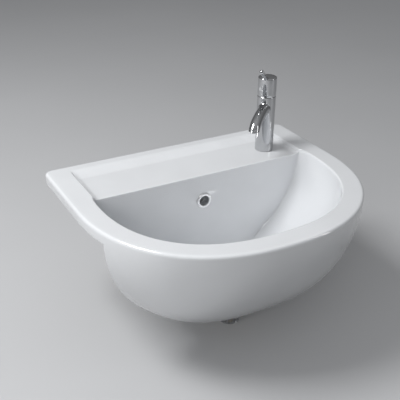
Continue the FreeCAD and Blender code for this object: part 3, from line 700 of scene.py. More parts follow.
    def ring_normals(self):
        """Outward normals of the ring's part of the outline, in plan."""
        x, y = self.outline(self.edge_part)
        along_x, along_y = (
            np.gradient(np.concatenate((line[-2:-1], line, line[1:2])))[1:-1] for line in (x, y))
        size = np.hypot(along_x, along_y)
        count, side = len(self.bowl_place), self.SIDE_POINTS
        nx, ny = (-along_y / size)[:count], (along_x / size)[:count]
        nx[:side], ny[:side] = 1.0, 0.0
        nx[-side:], ny[-side:] = -1.0, 0.0
        return nx, ny

    def top_ring(self):
        """Top of the rim from the bowl's edge to the outer edge, column by column.

        Near the deck the profile is the cove's; further forward it becomes a
        quarter round lip: z = rim - lip + sqrt(lip^2 - (lip - away)^2).
        """
        s = self.s
        x0, y0 = self.inner.curved(self.bowl_place, self.lip_depth)
        x, y = (line[:len(x0)] for line in self.outline(self.edge_part))
        nx, ny = self.ring_normals()
        run_x, run_y = x - s.edge * nx - x0, y - s.edge * ny - y0
        span = np.hypot(run_x, run_y)[:, None]
        near = s.lip + self.PAST_LIP
        further = near + (span - near) * (self.away - near) / (self.away[-1] - near)
        away = np.where(self.away <= near, self.away, further)
        share = away / span
        rise = self.rise(away)
        cove = self.deck_z + s.drop * rise - s.deck_edge * (1 - rise)
        short = np.clip(s.lip - away, 0, s.lip)
        lip = s.rim - s.lip + np.sqrt(s.lip ** 2 - short ** 2)
        weight = self.front_share[:, None]
        return stack(x0[:, None] + run_x[:, None] * share, y0[:, None] + run_y[:, None] * share,
                     (1 - weight) * cove + weight * lip)

    def skirt(self):
        """Round over of the rim's outer edge and the slab's side down to the counter.

        A quarter circle, in by edge (1 - sin a) and down by edge (1 - cos a),
        then the outline at z = rim - part height.
        """
        s = self.s
        x, y = self.outline(self.edge_part)
        ring_x, ring_y = self.ring_normals()
        side = len(self.block_y) - 1 - self.ROUND_POINTS
        back = len(self.block_x) - 2
        turn = quarter_turn(self.ROUND_POINTS)
        nx = np.concatenate((ring_x, np.full(side, -1.0), -np.cos(turn), np.zeros(back),
                             np.cos(turn[::-1]), np.ones(side + 1)))
        ny = np.concatenate((ring_y, np.zeros(side), np.sin(turn), np.ones(back),
                             np.sin(turn[::-1]), np.zeros(side + 1)))
        grids = []
        for angle in quarter_turn(self.EDGE_STEPS):
            inward = s.edge * (1 - np.sin(angle))
            level = s.rim - s.edge * (1 - np.cos(angle))
            grids.append(stack(x - inward * nx, y - inward * ny, level))
        for part in np.linspace(self.edge_part, self.band_part, 6)[1:]:
            grids.append(stack(*self.outline(part), s.rim - part * s.height))
        return np.stack(grids, axis=1)

    def bowl(self):
        """The bowl from its lip to its floor, all round.

        The depth runs down each column as 0.35 t + 0.65 sin(t pi / 2).
        """
        s = self.s
        t = np.linspace(0, 1, self.DEPTHS)[None, :]
        share = 0.35 * t + 0.65 * np.sin(t * np.pi / 2)
        last = s.inner * math.sin(self.BOWL_TURN)
        ring_depth = self.lip_depth[:, None] + (last - self.lip_depth[:, None]) * share
        curved = stack(*self.inner.curved(self.bowl_place[:, None], ring_depth), s.rim - ring_depth)
        deck_row = self.block()[0, self.middle]
        place = (self.block_x[self.middle] + self.corner_x) / (2 * self.corner_x)
        top = s.rim - deck_row[:, 2][:, None]
        wall_depth = top + (last - top) * share
        flat = stack(*self.inner.straight(place[:, None], wall_depth), s.rim - wall_depth)
        curved[:, 0] = self.top_ring()[:, 0]
        flat[:, 0] = deck_row
        loop = self.soft_corners(np.concatenate((curved, flat[1:-1])))
        return np.concatenate((loop, loop[:1]))

    def soft_corners(self, loop, reach=3.2, rows=6.0, rounds=14):
        """Round the creases between back wall and sides by averaging neighbours.

        Half of exp(-(columns from the crease / reach)^2) is taken each round;
        below the lip this grows from nothing over the first rows.
        """
        index = np.arange(len(loop))
        first = np.minimum(index, len(loop) - index)
        second = np.abs(index - (len(self.bowl_place) - 1))
        near = np.exp(-(np.minimum(first, second) / reach) ** 2)[:, None, None]
        deep = smooth_step(np.arange(loop.shape[1]) / rows)[None, :, None]
        for _ in range(rounds):
            mean = (np.roll(loop, 1, axis=0) + np.roll(loop, -1, axis=0)) / 2
            loop = loop + 0.5 * near * deep * (mean - loop)
        return loop

    def drain(self, rim_loop):
        """Floor of the bowl, the drain's sunk seat and its closed middle.

        Rings run straight from the bowl's last line to a circle round the
        drain; below it they are circles of a given radius and height.
        """
        s = self.s
        centre = np.array((0.0, self.inner.drain_y))
        plan = rim_loop[:, :2] - centre
        way = heading_of(np.arctan2(plan[:, 1], plan[:, 0]))
        level, seat = rim_loop[0, 2], s.rim - s.seat
        target = way * (self.SUNK + 0.0015)
        rings = [(centre + plan + (target - plan) * share, level)
                 for share in (0.25, 0.5, 0.75, 1.0)]
        rings += [(centre + way * radius, height) for radius, height in (
            (self.SUNK + 0.0006, level - 0.0003), (self.SUNK, level - 0.001),
            (self.SUNK, seat), (0.03, seat), (0, seat))]
        steps = [np.column_stack((line, np.full(len(plan), height))) for line, height in rings]
        return np.stack([rim_loop] + steps, axis=1)

    def apron(self, parts):
        """The outer bowl in front of the counter's edge: outer lines at z = rim - part height."""
        first, front = self.AROUND[:2]
        x, y = self.outer.points(self.around[first:first + front + 1, None], parts)
        return stack(x, y, self.s.rim - parts * self.s.height)

    def rear_loop(self, part):
        """Outline points behind the shoulder, from the right one round the back to the left."""
        right, count = self.SIDE_POINTS + self.AROUND[0], len(self.bowl_place)
        return (np.concatenate((
            line[right::-1], line[-2:count - 2:-1], line[count - 2:count - 2 - right:-1]))
            for line in self.outline(part))

    def jacket_points(self, parts):
        """Outside of the bowl's shell behind the counter's edge, matched to the rear loop.

        Its level lines are the bowl's grown by the wall, at z = rim - part height.
        """
        s = self.s
        side = self.SIDE_POINTS + self.AROUND[0] + len(self.block_y)
        run = np.linspace(0, 1, side)[:, None]
        depth = parts * s.height
        start = self.jacket.shoulder_place(depth, self.outer.shoulder)
        right = stack(*self.jacket.curved(start * (1 - run), depth), s.rim - depth)
        place = np.linspace(1, 0, len(self.block_x))[1:-1, None]
        behind = stack(*self.jacket.straight(place, depth), s.rim - depth)
        left = right[::-1] * np.array((-1.0, 1.0, 1.0))
        return np.concatenate((right, behind, left))

    def underside(self, jacket_top):
        """Bearing band at z = 0, then a step up and a level plane in to the bowl's shell."""
        s = self.s
        x, y = self.rear_loop(self.band_part)
        inner_x, inner_y = s.width / 2 - s.band, s.inset - s.band
        bx, by = np.clip(x, -inner_x, inner_x), np.minimum(y, inner_y)
        tx = np.clip(x, self.STEP_RUN - inner_x, inner_x - self.STEP_RUN)
        ty = np.minimum(y, inner_y - self.STEP_RUN)
        top = stack(tx, ty, s.step)
        target = jacket_top.copy()
        target[:, 2] = s.step
        rows = (stack(x, y, 0.0), stack(x + 0.5 * (bx - x), y + 0.5 * (by - y), 0.0),
                stack(bx, by, 0.0), top, 0.5 * (top + target), target)
        return np.stack(rows, axis=1)

    def grids(self):
        """All the grids: glazed ones with slot 0, unglazed ones with slot 1."""
        parts = eased(self.HEIGHTS, self.band_part, self.s.foot, 0.6)
        apron = self.apron(parts)
        bowl = self.bowl()
        jacket = self.jacket_points(parts)
        under = self.underside(jacket[:, 0])
        jacket[:, 0, 2] = self.s.step
        share = np.linspace(0, 1, under.shape[1])[:, None, None]
        faces = []
        for column in (0, -1):
            outside, inside = apron[column], jacket[column]
            face = outside[None] + (inside - outside)[None] * share
            face[:, 0] = under[column]
            faces.append(face)
        right, left = faces
        edge = np.concatenate((
            apron[:, -1], left[1:, -1], jacket[::-1, -1][1:], right[::-1, -1][1:]))
        hub = np.array((0.0, self.outer.shoulder, edge[0, 2]))
        foot = np.stack((edge, 0.5 * (edge + hub), np.broadcast_to(hub, edge.shape)), axis=1)
        glazed = (self.block(), self.top_ring(), self.skirt(), bowl, self.drain(bowl[:, -1]),
                  apron, jacket)
        return [(grid, 0) for grid in glazed] + [(grid, 1) for grid in (under, foot, right, left)]


# -------------------------------------------------------------------- materials

def add_node(tree, kind, **inputs):
    """A new shader node; each input takes a value, or an output to be joined to."""
    node = tree.nodes.new("ShaderNode" + kind)
    for name, value in inputs.items():
        socket = node.inputs[name.replace("_", " ")]
        if isinstance(value, bpy.types.NodeSocket):
            tree.links.new(value, socket)
        else:
            socket.default_value = value
    return node


class Shader:
    """A material's nodes, made one after another."""

    def __init__(self, name, base, roughness, metallic=0.0):
        self.material = bpy.data.materials.new(name)
        self.material.use_nodes = True
        self.tree = self.material.node_tree
        self.main = self.tree.nodes["Principled BSDF"].inputs
        self.main["Base Color"].default_value = (*base, 1.0)
        self.main["Roughness"].default_value = roughness
        self.main["Metallic"].default_value = metallic
        self.base = base
        self.place = self.node("TexCoord").outputs["Object"]

    def node(self, kind, **inputs):
        """A new node of this material."""
        return add_node(self.tree, kind, **inputs)

    def noise(self, scale, detail=4.0, rough=0.5, stretch=(1, 1, 1)):
        """A noise of a given size; the scale counts features in a metre."""
        place = self.node("Mapping", Vector=self.place, Scale=stretch).outputs["Vector"]
        noise = self.node("TexNoise", Vector=place, Scale=scale, Detail=detail, Roughness=rough)
        return noise.outputs["Fac"]

    def ramp(self, value, low, high, start, end):
        """A value carried from one range to another."""
        node = self.node("MapRange", Value=value, From_Min=low, From_Max=high,
                         To_Min=start, To_Max=end)
        return node.outputs["Result"]

    def tones(self, value, dark, light):
        """Base colour running between two tones of the base."""
        node = self.node("ValToRGB", Fac=value)
        stops = node.color_ramp.elements
        for element, where, tone in zip(stops, (0.35, 0.65), (dark, light)):
            element.position = where
            element.color = (*[min(part * tone, 1.0) for part in self.base], 1.0)
        self.tree.links.new(node.outputs["Color"], self.main["Base Color"])

    def rough(self, value, low, high):
        """Roughness running between two ends."""
        self.tree.links.new(self.ramp(value, 0.3, 0.7, low, high), self.main["Roughness"])

    def bump(self, value, strength, distance, **below):
        """A height added to the surface, or to another height given as Normal."""
        node = self.node("Bump", Height=value, Strength=strength, Distance=distance, **below)
        self.tree.links.new(node.outputs["Normal"], self.main["Normal"])
        return node.outputs["Normal"]

    def dim_for_bounces(self, share):
        """Take the base colour down for the light it throws back.

        Cameras, metal and glass still see the whole colour.
        """
        path = self.node("LightPath").outputs
        seen = path["Is Camera Ray"]
        for name in ("Is Glossy Ray", "Is Transmission Ray"):
            larger = self.node("Math")
            larger.operation = "MAXIMUM"
            self.tree.links.new(seen, larger.inputs[0])
            self.tree.links.new(path[name], larger.inputs[1])
            seen = larger.outputs["Value"]
        scaled = self.node("VectorMath")
        scaled.operation = "SCALE"
        base = self.main["Base Color"]
        self.tree.links.new(base.links[0].from_socket, scaled.inputs[0])
        self.tree.links.new(self.ramp(seen, 0.0, 1.0, share, 1.0), scaled.inputs["Scale"])
        self.tree.links.new(scaled.outputs["Vector"], base)


def glaze_material(look):
    """White glaze: faint clouding, a slow ripple and fine orange peel under a clear gloss."""
    shader = Shader("white_glaze", look.glaze, 0.1)
    shader.tones(shader.noise(9, 3), 0.975, 1.015)
    shader.rough(shader.noise(35, 3), 0.06, 0.13)
    ripple = shader.bump(shader.noise(14, 2), 0.10, 0.0012)
    shader.bump(shader.noise(420, 2), 0.03, 0.0002, Normal=ripple)
    shader.main["Coat Weight"].default_value = 0.6
    shader.main["Coat Roughness"].default_value = 0.04
    shader.main["IOR"].default_value = 1.52
    return shader.material


def biscuit_material(look):
    """Unglazed ceramic: matt, sandy, with faint wipe marks."""
    shader = Shader("biscuit_ceramic", look.biscuit, 0.8)
    shader.tones(shader.noise(30, 5, 0.6), 0.9, 1.06)
    shader.rough(shader.noise(90, 4), 0.65, 0.9)
    grain = shader.bump(shader.noise(900, 4, 0.6), 0.35, 0.0004)
    shader.bump(shader.noise(60, 3, 0.5, (1, 6, 1)), 0.2, 0.0008, Normal=grain)
    return shader.material


def chrome_material(look):
    """Bright chrome: near mirror, faint polish lines and dried water haze."""
    shader = Shader("bright_chrome", look.chrome, 0.06, 1.0)
    shader.tones(shader.noise(70, 4), 0.97, 1.02)
    shader.rough(shader.noise(130, 5, 0.6), 0.03, 0.09)
    wave = shader.bump(shader.noise(60, 1), 0.05, 0.0004)
    shader.bump(shader.noise(700, 3, 0.6, (1, 1, 0.05)), 0.015, 0.0001, Normal=wave)
    return shader.material


def metal_material(name, tone, low, high, along=1, dark=0.85):
    """Plain metal with light tarnish and tool marks, finer along the axis by a factor."""
    shader = Shader(name, tone, (low + high) / 2, 1.0)
    shader.tones(shader.noise(120, 5, 0.6), dark, 1.08)
    shader.rough(shader.noise(260, 4, 0.6, (1, 1, along)), low, high)
    shader.bump(shader.noise(1500, 3, 0.5, (1, 1, along)), 0.12, 0.0001)
    return shader.material


def soft_material(name, tone, low, high, grain, depth):
    """Rubber or plastic with a fine moulded grain and dusty patches."""
    shader = Shader(name, tone, (low + high) / 2)
    shader.tones(shader.noise(80, 4, 0.6), 0.88, 1.12)
    shader.rough(shader.noise(160, 3), low, high)
    shader.bump(shader.noise(grain, 3, 0.6), 0.25, depth)
    return shader.material


def make_materials(look):
    """Every material of the object, by name."""
    return {
        "glaze": glaze_material(look),
        "biscuit": biscuit_material(look),
        "chrome": chrome_material(look),
        "satin": metal_material("satin_chrome", look.satin, 0.34, 0.46, dark=0.95),
        "brass": metal_material("turned_brass", look.brass, 0.22, 0.4, 9),
        "steel": metal_material("plain_steel", look.steel, 0.2, 0.36, 7),
        "zinc": metal_material("zinc_plate", look.zinc, 0.3, 0.5, dark=0.8),
        "rubber": soft_material("black_rubber", look.rubber, 0.5, 0.75, 1800, 0.0001),
        "plastic": soft_material("white_plastic", look.plastic, 0.3, 0.45, 1500, 0.00005),
        "grey": soft_material("grey_cover", look.grey, 0.25, 0.4, 1500, 0.00003),
    }


MATERIALS = {}


def material(name):
    """A finished material by name, all made at first use."""
    if not MATERIALS:
        MATERIALS.update(make_materials(bpy.context.scene.basin_finishes))
    return MATERIALS[name]


def finish_nodes(**finishes):
    """Give carried-over CAD nodes their materials."""
    for node, name in finishes.items():
        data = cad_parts[node].data
        if not data.materials:
            data.materials.append(material(name))
        for place in range(len(data.materials)):
            data.materials[place] = material(name)


# ------------------------------------------------------------------ tap surfaces

class TapPlace:
    """The tap's axis, its deck and its heading."""

    def __init__(self, basin, tap):
        self.origin = np.array((tap.x, basin.inset - tap.reach_back, basin.rim - basin.drop))
        turn = math.radians(tap.turn)
        self.ahead = np.array((-math.sin(turn), -math.cos(turn), 0.0))
        self.aside = np.array((math.cos(turn), -math.sin(turn), 0.0))

    def at(self, ahead, aside, up):
        """Points from distances ahead along the spout, aside and above the deck."""
        ahead, aside, up = (part[..., None] for part in np.broadcast_arrays(ahead, aside, up))
        return self.origin + (ahead * self.ahead + aside * self.aside) + up * UP


def spout_line(tap, steps=90):
    """Centre line of the spout: (ahead, up) from the axis down to the mouth.

    It is one cubic curve with its handles at 47% and 87% of the reach.
    """
    start, first, second, end = np.array((
        (0.0, tap.rise), (tap.reach * 0.47, tap.rise + tap.climb),
        (tap.reach * 0.87, tap.rise - 0.0005), (tap.reach, tap.outlet)))
    t = np.linspace(0, 1, steps)[:, None]
    return ((1 - t) ** 3 * start + 3 * (1 - t) ** 2 * t * first
            + 3 * (1 - t) * t ** 2 * second + t ** 3 * end)


def spout_sheet(place, tap, flare=0.0018, fade=0.0026):
    """The spout as one closed grid: flared at the body, turned in at its mouth.

    Its radius is tube + flare exp(-distance from the body / fade).  Over the
    last stretch the rings tip from square to the line until they lie level.
    """
    line = spout_line(tap)
    line = line[np.searchsorted(line[:, 0], tap.radius * 0.7):]
    out = np.clip(line[:, 0] - tap.radius + 0.0005, 0, None)
    radius = tap.tube + flare * np.exp(-out / fade)
    heading = np.gradient(line, axis=0)
    square = np.arctan2(-heading[:, 1], heading[:, 0])
    left = np.linalg.norm(line - line[-1], axis=1)
    level = smooth_step(1 - left / (1.9 * tap.tube))
    tip = square + (np.pi / 2 - square) * level
    up = np.sin(tip)[:, None] * place.ahead + np.cos(tip)[:, None] * UP
    up *= 1 + 0.1 * level[:, None]
    outside = tube_sheet(place.at(line[:, 0], 0.0, line[:, 1]), radius, place.aside, up)
    mouth = place.at(tap.reach, 0.0, tap.outlet)
    inward = rounded([(1.0, 0.0), (0.98, -0.0001), (0.86, -0.0001), (0.85, 0.004), (0.0, 0.004)],
                     0.0003)
    lip = [mouth + (outside[-1] - mouth) * share + np.array((0, 0, lift))
           for share, lift in inward[1:]]
    root = np.broadcast_to(outside[0].mean(axis=0), outside[0].shape)
    return np.concatenate((root[None], outside, np.stack(lip)))


def cap_bottom(tap, angle):
    """Height of the cap's lower edge: level in front, rising behind so that it can tilt.

    z = joint + behind tan(lift + 1 degree), behind being -r cos a or nothing.
    """
    behind = np.clip(-tap.radius * np.cos(angle), 0, None)
    return tap.height + tap.gap + behind * math.tan(math.radians(tap.lift + 1.0))


def lever_cap_sheet(place, tap, wall=0.0022, hollow=0.0115, bevel=0.0012, count=128):
    """Hollow, lower edge, outside and crown of the lever cap as one closed grid.

    Each ring is reach (cos a, sin a) at its level; the lower edge's levels
    follow cap_bottom.
    """
    angle = full_turn(count)[:, None]
    radius, inner = tap.radius, tap.radius - wall
    ceiling, high = tap.height + hollow, tap.height + tap.cap
    edge = cap_bottom(tap, angle)
    crown = rounded([
        (radius, high - 0.012), (radius, high - bevel), (radius - bevel, high),
        (radius - 0.004, high + 0.0002), (0.0, high + 0.0009)], bevel, 5)
    reach, level = zip(
        (0.0, ceiling), (inner - 0.002, ceiling), (inner, ceiling), (inner, edge + 0.0006),
        (inner + 0.0003, edge + 0.0001), (radius - 0.0004, edge), (radius, edge + 0.0005),
        (radius, edge + 0.004), *crown)
    up = np.concatenate([np.broadcast_to(z, angle.shape) for z in level], axis=1)
    grid = place.at(reach * np.cos(angle), reach * np.sin(angle), up)
    grid[-1] = grid[0]
    return grid


def lever_sheet(place, tap, flare=0.0035, fade=0.006, count=40):
    """The lever as one closed grid: a round pin, flared at its root, domed at its end.

    Radius = r (1 - 0.1 sin(pi run / length)) + flare exp(-run / fade), then the
    dome r sqrt(1 - (past / r)^2).
    """
    slope = math.radians(tap.lever_slope)
    dome = tap.lever_length + tap.lever_radius * np.sin(quarter_turn(12)[1:])
    run = np.concatenate((np.linspace(0, tap.lever_length, 40), dome))
    past = np.clip((run - tap.lever_length) / tap.lever_radius, 0, 1)
    waist = 1 - 0.10 * np.sin(np.pi * np.clip(run / tap.lever_length, 0, 1))
    radius = tap.lever_radius * waist * np.sqrt(1 - past ** 2)
    radius = radius + flare * np.exp(-run / fade) * (past == 0)
    base = tap.height + tap.cap - 0.007
    line = place.at(0.004 + run * math.cos(slope), 0.0, base + run * math.sin(slope))
    tube = tube_sheet(line, radius, place.aside, count=count)
    return np.concatenate((np.broadcast_to(line[0], tube[0].shape)[None], tube))


# ------------------------------------------------------------- threads and nuts

def thread_sheet(centre, radius, depth, pitch, bore, low, high, count=72, steps=8):
    """A hollow threaded tube as one closed grid.

    Radius = r - depth t, t being the triangle wave of height / pitch - angle /
    360 degrees, times 1.25 less 0.1 and cut to 0..1, which flattens crest and
    root.  At both ends the crest runs out to the root.
    """
    rows = int((high - low) / pitch * steps) + 1
    height = np.linspace(low, high, rows)
    angle = full_turn(count)[:, None]
    phase = (height / pitch - angle / (2 * np.pi)) % 1.0
    groove = np.clip(1.25 * (1 - np.abs(2 * phase - 1)) - 0.1, 0, 1)
    ends = np.clip((height - low) / pitch, 0, 1) * np.clip((high - height) / pitch, 0, 1)
    outside = radius - depth * (1 - (1 - groove) * ends)
    reach = np.pad(outside, ((0, 0), (1, 2)), constant_values=bore)
    return upright_sheet(centre, angle, reach, np.concatenate(([low], height, [high, low])))


def nut_sheet(centre, across, low, high, bore, chamfer=0.0012, bevel=0.0006, count=144):
    """A six sided nut with both faces chamfered, as one closed grid.

    Radius = half the width over flats / cos(angle from the flat's middle), but
    no more than a cone allows near the two faces, 98.5% of the flat at a face.
    """
    angle = full_turn(count)[:, None]
    flat = across / 2 / np.cos((angle + np.pi / 6) % (np.pi / 3) - np.pi / 6)
    corner = across / 2 / math.cos(math.pi / 6)
    deep = np.linspace(0, 1, 7) ** 1.5 * chamfer * 1.6
    heights = np.concatenate((low + deep, high - deep[::-1]))
    near = np.minimum(heights - low, high - heights)
    limit = across / 2 * 0.985 + near * (corner - across / 2 * 0.985) / (chamfer * 1.6)
    inner, slant = (np.full((count + 1, 1), bore + more) for more in (0.0, bevel))
    reach = (inner, slant, np.minimum(flat, limit), slant, inner, inner)
    level = ([low + bevel, low], heights, [high, high - bevel, low + bevel])
    return upright_sheet(centre, angle, np.concatenate(reach, axis=1), np.concatenate(level))


# -------------------------------------------------------------------- operators

class BASIN_OT_shell(bpy.types.Operator):
    """Build the glazed shell with its tap hole, overflow passage and drain"""

    bl_idname = "basin.shell"
    bl_label = "Glazed shell"

    def execute(self, context):
        """Make the shell, the overflow's housing and run, and the drain's boss."""
        s = context.scene.basin_sizes
        tap = context.scene.basin_tap
        finish = [material("glaze"), material("biscuit")]
        shell = merged_object("glazed_shell", Shell(s).grids(), finish, GLAZED)
        wall_y, drain_y = s.inset - s.deck, s.inset - s.drain
        seat, low = s.rim - s.seat, s.rim - s.boss
        passage = (0.0, wall_y, s.rim - s.overflow)
        back = wall_y + 2 * s.wall + s.duct_gap - 0.003
        half = s.duct_width / 2 + s.wall
        upward, backward = (0, 0, 1), (0, 1, 0)

        def cutter(name, radius, centre, direction, start, end):
            """A round bar to cut with."""
            sheet = turned_sheet(round_bar(radius, start, end), centre, direction, 72)
            return sheet_piece(name, sheet, "glaze")

        cut_with(shell, [
            cutter("tap_cutter", tap.hole, TapPlace(s, tap).origin, upward, -0.02, 0.01),
            cutter("drain_cutter", s.drain_hole, (0.0, drain_y, seat), upward, -0.03, 0.01),
            cutter("overflow_cutter", s.overflow_hole, passage, backward, -0.02, 0.02),
        ], GLAZED)
        corner, ceiling = 0.008, -0.004
        upright = block_sheet((-half, wall_y + corner, low), (half, back, ceiling), corner)
        housing = merged_object("overflow_housing", [(upright, 0)], finish)
        duct_low = (-s.duct_width / 2, wall_y + s.wall, low + s.wall / 2)
        duct_high = (s.duct_width / 2, wall_y + s.wall + s.duct_gap,
                     passage[2] + s.overflow_hole + 0.002)
        cut_with(housing, [
            sheet_piece("duct_cutter", block_sheet(duct_low, duct_high, 0.002), "glaze"),
            cutter("mouth_cutter", s.overflow_hole, passage, backward, 0.0, s.wall + 0.001),
        ], PLAIN)
        behind_drain, run_height, bevel, ring_height = 0.03, 0.0185, 0.0015, 0.02
        run = block_sheet((-half, drain_y + behind_drain, low),
                          (half, back - 0.004, low + run_height), 0.003)
        under = merged_object("overflow_run", [(run, 0)], finish)
        ring = [(s.drain_hole, low), (s.drain_hole, low + ring_height),
                (s.boss_radius, low + ring_height), (s.boss_radius, low + bevel),
                (s.boss_radius - bevel, low), (s.drain_hole, low)]
        boss = turned_piece("drain_boss", ring, "biscuit", (0.0, drain_y, 0.0), radius=0.0006)
        for piece in (shell, housing, under, boss):
            carry(piece, "basin", "basin_body")
        return {"FINISHED"}


class BASIN_OT_overflow(bpy.types.Operator):
    """Build the satin chromed ring of the overflow"""

    bl_idname = "basin.overflow"
    bl_label = "Overflow ring"

    def execute(self, context):
        """Turn the ring about a line from the back wall to the front."""
        s = context.scene.basin_sizes
        low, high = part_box("overflow_ring")
        radius = context.scene.basin_waste.trim
        bore, sleeve = s.overflow_hole - 0.0007, s.overflow_hole - 0.0003
        proud = 0.0026
        back = -(low[1] + proud)
        barrel = -high[1] - back
        profile = rounded([
            (bore, barrel), (bore, 0.0012), (bore + 0.0006, 0.0022), (bore + 0.0014, proud),
            (radius - 0.0011, 0.0023), (radius, 0.0007), (radius, 0.0), (sleeve, 0.0),
            (sleeve, barrel), (bore, barrel)], 0.0007, 5)
        sheet = turned_sheet(profile, (0.0, -back, s.rim - s.overflow), (0, -1, 0), 128)
        carry(sheet_piece("overflow_trim", sheet, "satin", CAST), "basin", "overflow_ring")
        return {"FINISHED"}


class BASIN_OT_waste(bpy.types.Operator):
    """Build the waste: flange, threaded tail, seals, nut and push plug"""

    bl_idname = "basin.waste"
    bl_label = "Waste and plug"

    def execute(self, context):
        """Make each turned piece about the drain's axis."""
        s = context.scene.basin_sizes
        w = context.scene.basin_waste
        seat = s.rim - s.seat
        axis = (0.0, s.inset - s.drain)
        centre = (*axis, seat)
        self.make_body(s, w, axis, centre)
        self.make_fastening(s, w, axis, centre)
        run = np.linspace(0, 1, 24)
        edge, rim_height = w.flange - 0.0015, 0.0022
        low, high = w.seal + 0.0031, w.seal + 0.0086
        level = high - (high - low - rim_height) * (1 - run) ** 2
        crown = np.stack((edge * (1 - run), level), axis=-1)
        under = [(0.0, low), (edge - 0.001, low), (edge, low + 0.0006), (edge, low + 0.0014)]
        dome = np.concatenate((under, crown))
        plug = turned_piece("plug_cover", dome, "chrome", centre, count=128, radius=0.0008)
        carry(plug, "plug", "plug_cap")
        finish_nodes(plug_seal="rubber", plug_stem="brass", plug_cartridge="brass")
        return {"FINISHED"}

    def make_body(self, s, w, axis, centre):
        """Flange, threaded tail and the cross that holds the plug's sleeve."""
        seat = centre[2]
        bore, neck, foot = w.tail - 0.0024, w.tail - 0.0004, -0.03
        flange = [(bore, foot), (bore, w.seal - 0.0016), (bore + 0.0035, w.seal + 0.0021),
                  (w.flange - 0.0018, w.seal + 0.0025), (w.flange, w.seal + 0.0006),
                  (w.flange, w.seal), (neck, w.seal), (neck, foot), (bore, foot)]
        top = turned_piece("waste_flange", flange, "chrome", centre, count=128, radius=0.0009)
        ends = (seat - w.tail_length, seat - (s.boss - s.seat) + 0.002)
        grid = thread_sheet(axis, w.tail, 0.0014, w.pitch, bore, *ends)
        tail = sheet_piece("waste_tail", grid, "chrome", THREADED)
        low, high = -0.036, -0.031
        long, half = bore + 0.0008, 0.0016
        bars = [block_sheet((axis[0] - a, axis[1] - b, seat + low),
                            (axis[0] + a, axis[1] + b, seat + high), 0.0008)
                for a, b in ((long, half), (half, long))]
        hub = turned_sheet(round_ring(0.00605, 0.009, low, high), centre, count=48)
        spider = merged_object("waste_spider", [(grid, 0) for grid in (*bars, hub)],
                               [material("chrome")])
        for piece in (top, tail, spider):
            carry(piece, "basin", "waste_body")

    def make_fastening(self, s, w, axis, centre):
        """Seals above and below the ceramic, slip washer and back nut with its collar."""
        under = -(s.boss - s.seat)
        seal_end, slip_end, collar_end, nut_end = 0.01, 0.012, 0.015, 0.022
        loose = w.tail + 0.0003
        seal = round_ring(0.0235, w.flange - 0.001, 0.0, w.seal)
        cone = [(loose, under - seal_end), (loose, under), (0.034, under),
                (0.0335, under - 0.0018), (0.026, under - seal_end), (loose, under - seal_end)]
        slip = round_ring(loose, 0.03, under - slip_end, under - seal_end)
        for name, profile, finish, radius, node in (
                ("flange_seal", seal, "rubber", 0.0003, "waste_top_seal"),
                ("cone_seal", cone, "rubber", 0.0012, "waste_bottom_seal"),
                ("slip_washer", slip, "plastic", 0.0004, "waste_washer")):
            carry(turned_piece(name, profile, finish, centre, radius=radius), "basin", node)
        low, high = centre[2] + under - nut_end, centre[2] + under - slip_end
        nut = sheet_piece("waste_nut", nut_sheet(axis, 0.054, low, high, w.tail + 0.00005),
                          "brass", SIX_SIDED)
        collar = round_ring(w.tail + 0.0002, 0.0285, under - collar_end, under - slip_end)
        ring = turned_piece("nut_collar", collar, "brass", centre, radius=0.0006)
        for piece in (nut, ring):
            carry(piece, "basin", "waste_backnut")


class BASIN_OT_tap(bpy.types.Operator):
    """Build the body, spout and aerator of the tap"""

    bl_idname = "basin.tap"
    bl_label = "Tap body and spout"

    def execute(self, context):
        """Turn the body, sweep the spout and finish what is inside."""
        tap = context.scene.basin_tap
        place = TapPlace(context.scene.basin_sizes, tap)
        radius, top = tap.radius, tap.height
        bore, floor, groove = 0.0155, 0.0625, 0.0016
        body = rounded([
            (0, floor), (bore, floor), (bore, groove), (radius - 0.0008, groove),
            (radius - 0.0007, tap.gap), (radius, tap.gap + 0.0006), (radius, top - 0.0007),
            (radius - 0.0008, top), (0.0152, top), (0.0148, top - 0.0105), (0, top - 0.0105)])
        column = sheet_piece(
            "tap_column", turned_sheet(body, place.origin, count=160), "chrome", CAST)
        port = round_bar(0.0046, 0.05, 0.084)
        cut_with(column, [
            sheet_piece("port_cutter", turned_sheet(port, place.at(0.004, side, 0.0), count=36),
                        "chrome")
            for side in (-0.007, 0.007)], CAST)
        spout = sheet_piece("tap_spout", spout_sheet(place, tap), "chrome", CAST)
        for piece in (column, spout):
            carry(piece, "basin", "tap_body")
        inner, step, lip = 0.008, 0.0092, tap.tube - 0.0003
        low, high, bevel = -0.003, 0.0045, 0.0006
        ring = [(inner, low), (inner, high), (step, high), (step, -tap.gap), (lip, -tap.gap),
                (lip, low + bevel), (lip - bevel, low), (inner, low)]
        mouth = place.at(tap.reach, 0.0, tap.outlet)
        housing = turned_piece("aerator_ring", ring, "chrome", mouth, count=72, radius=0.0004)
        carry(housing, "basin", "aerator_housing")
        finish_nodes(
            aerator_insert="plastic", tap_base_seal="rubber", tap_cartridge="plastic",
            cartridge_nut="brass", tap_dome="chrome", cartridge_turret="plastic",
            lever_pin="steel", lever_spindle="brass")
        return {"FINISHED"}


class BASIN_OT_lever(bpy.types.Operator):
    """Build the lever cap, its pin and its screw cover"""

    bl_idname = "basin.lever"
    bl_label = "Lever"

    def execute(self, context):
        """Make the cap and the pin; both ride with the lever."""
        tap = context.scene.basin_tap
        place = TapPlace(context.scene.basin_sizes, tap)
        for name, grid in (("lever_cover", lever_cap_sheet(place, tap)),
                           ("lever_rod", lever_sheet(place, tap))):
            carry(sheet_piece(name, grid, "chrome", CAST), "lever", "lever_cap")
        finish_nodes(lever_screw="steel", index_cap="grey")
        return {"FINISHED"}


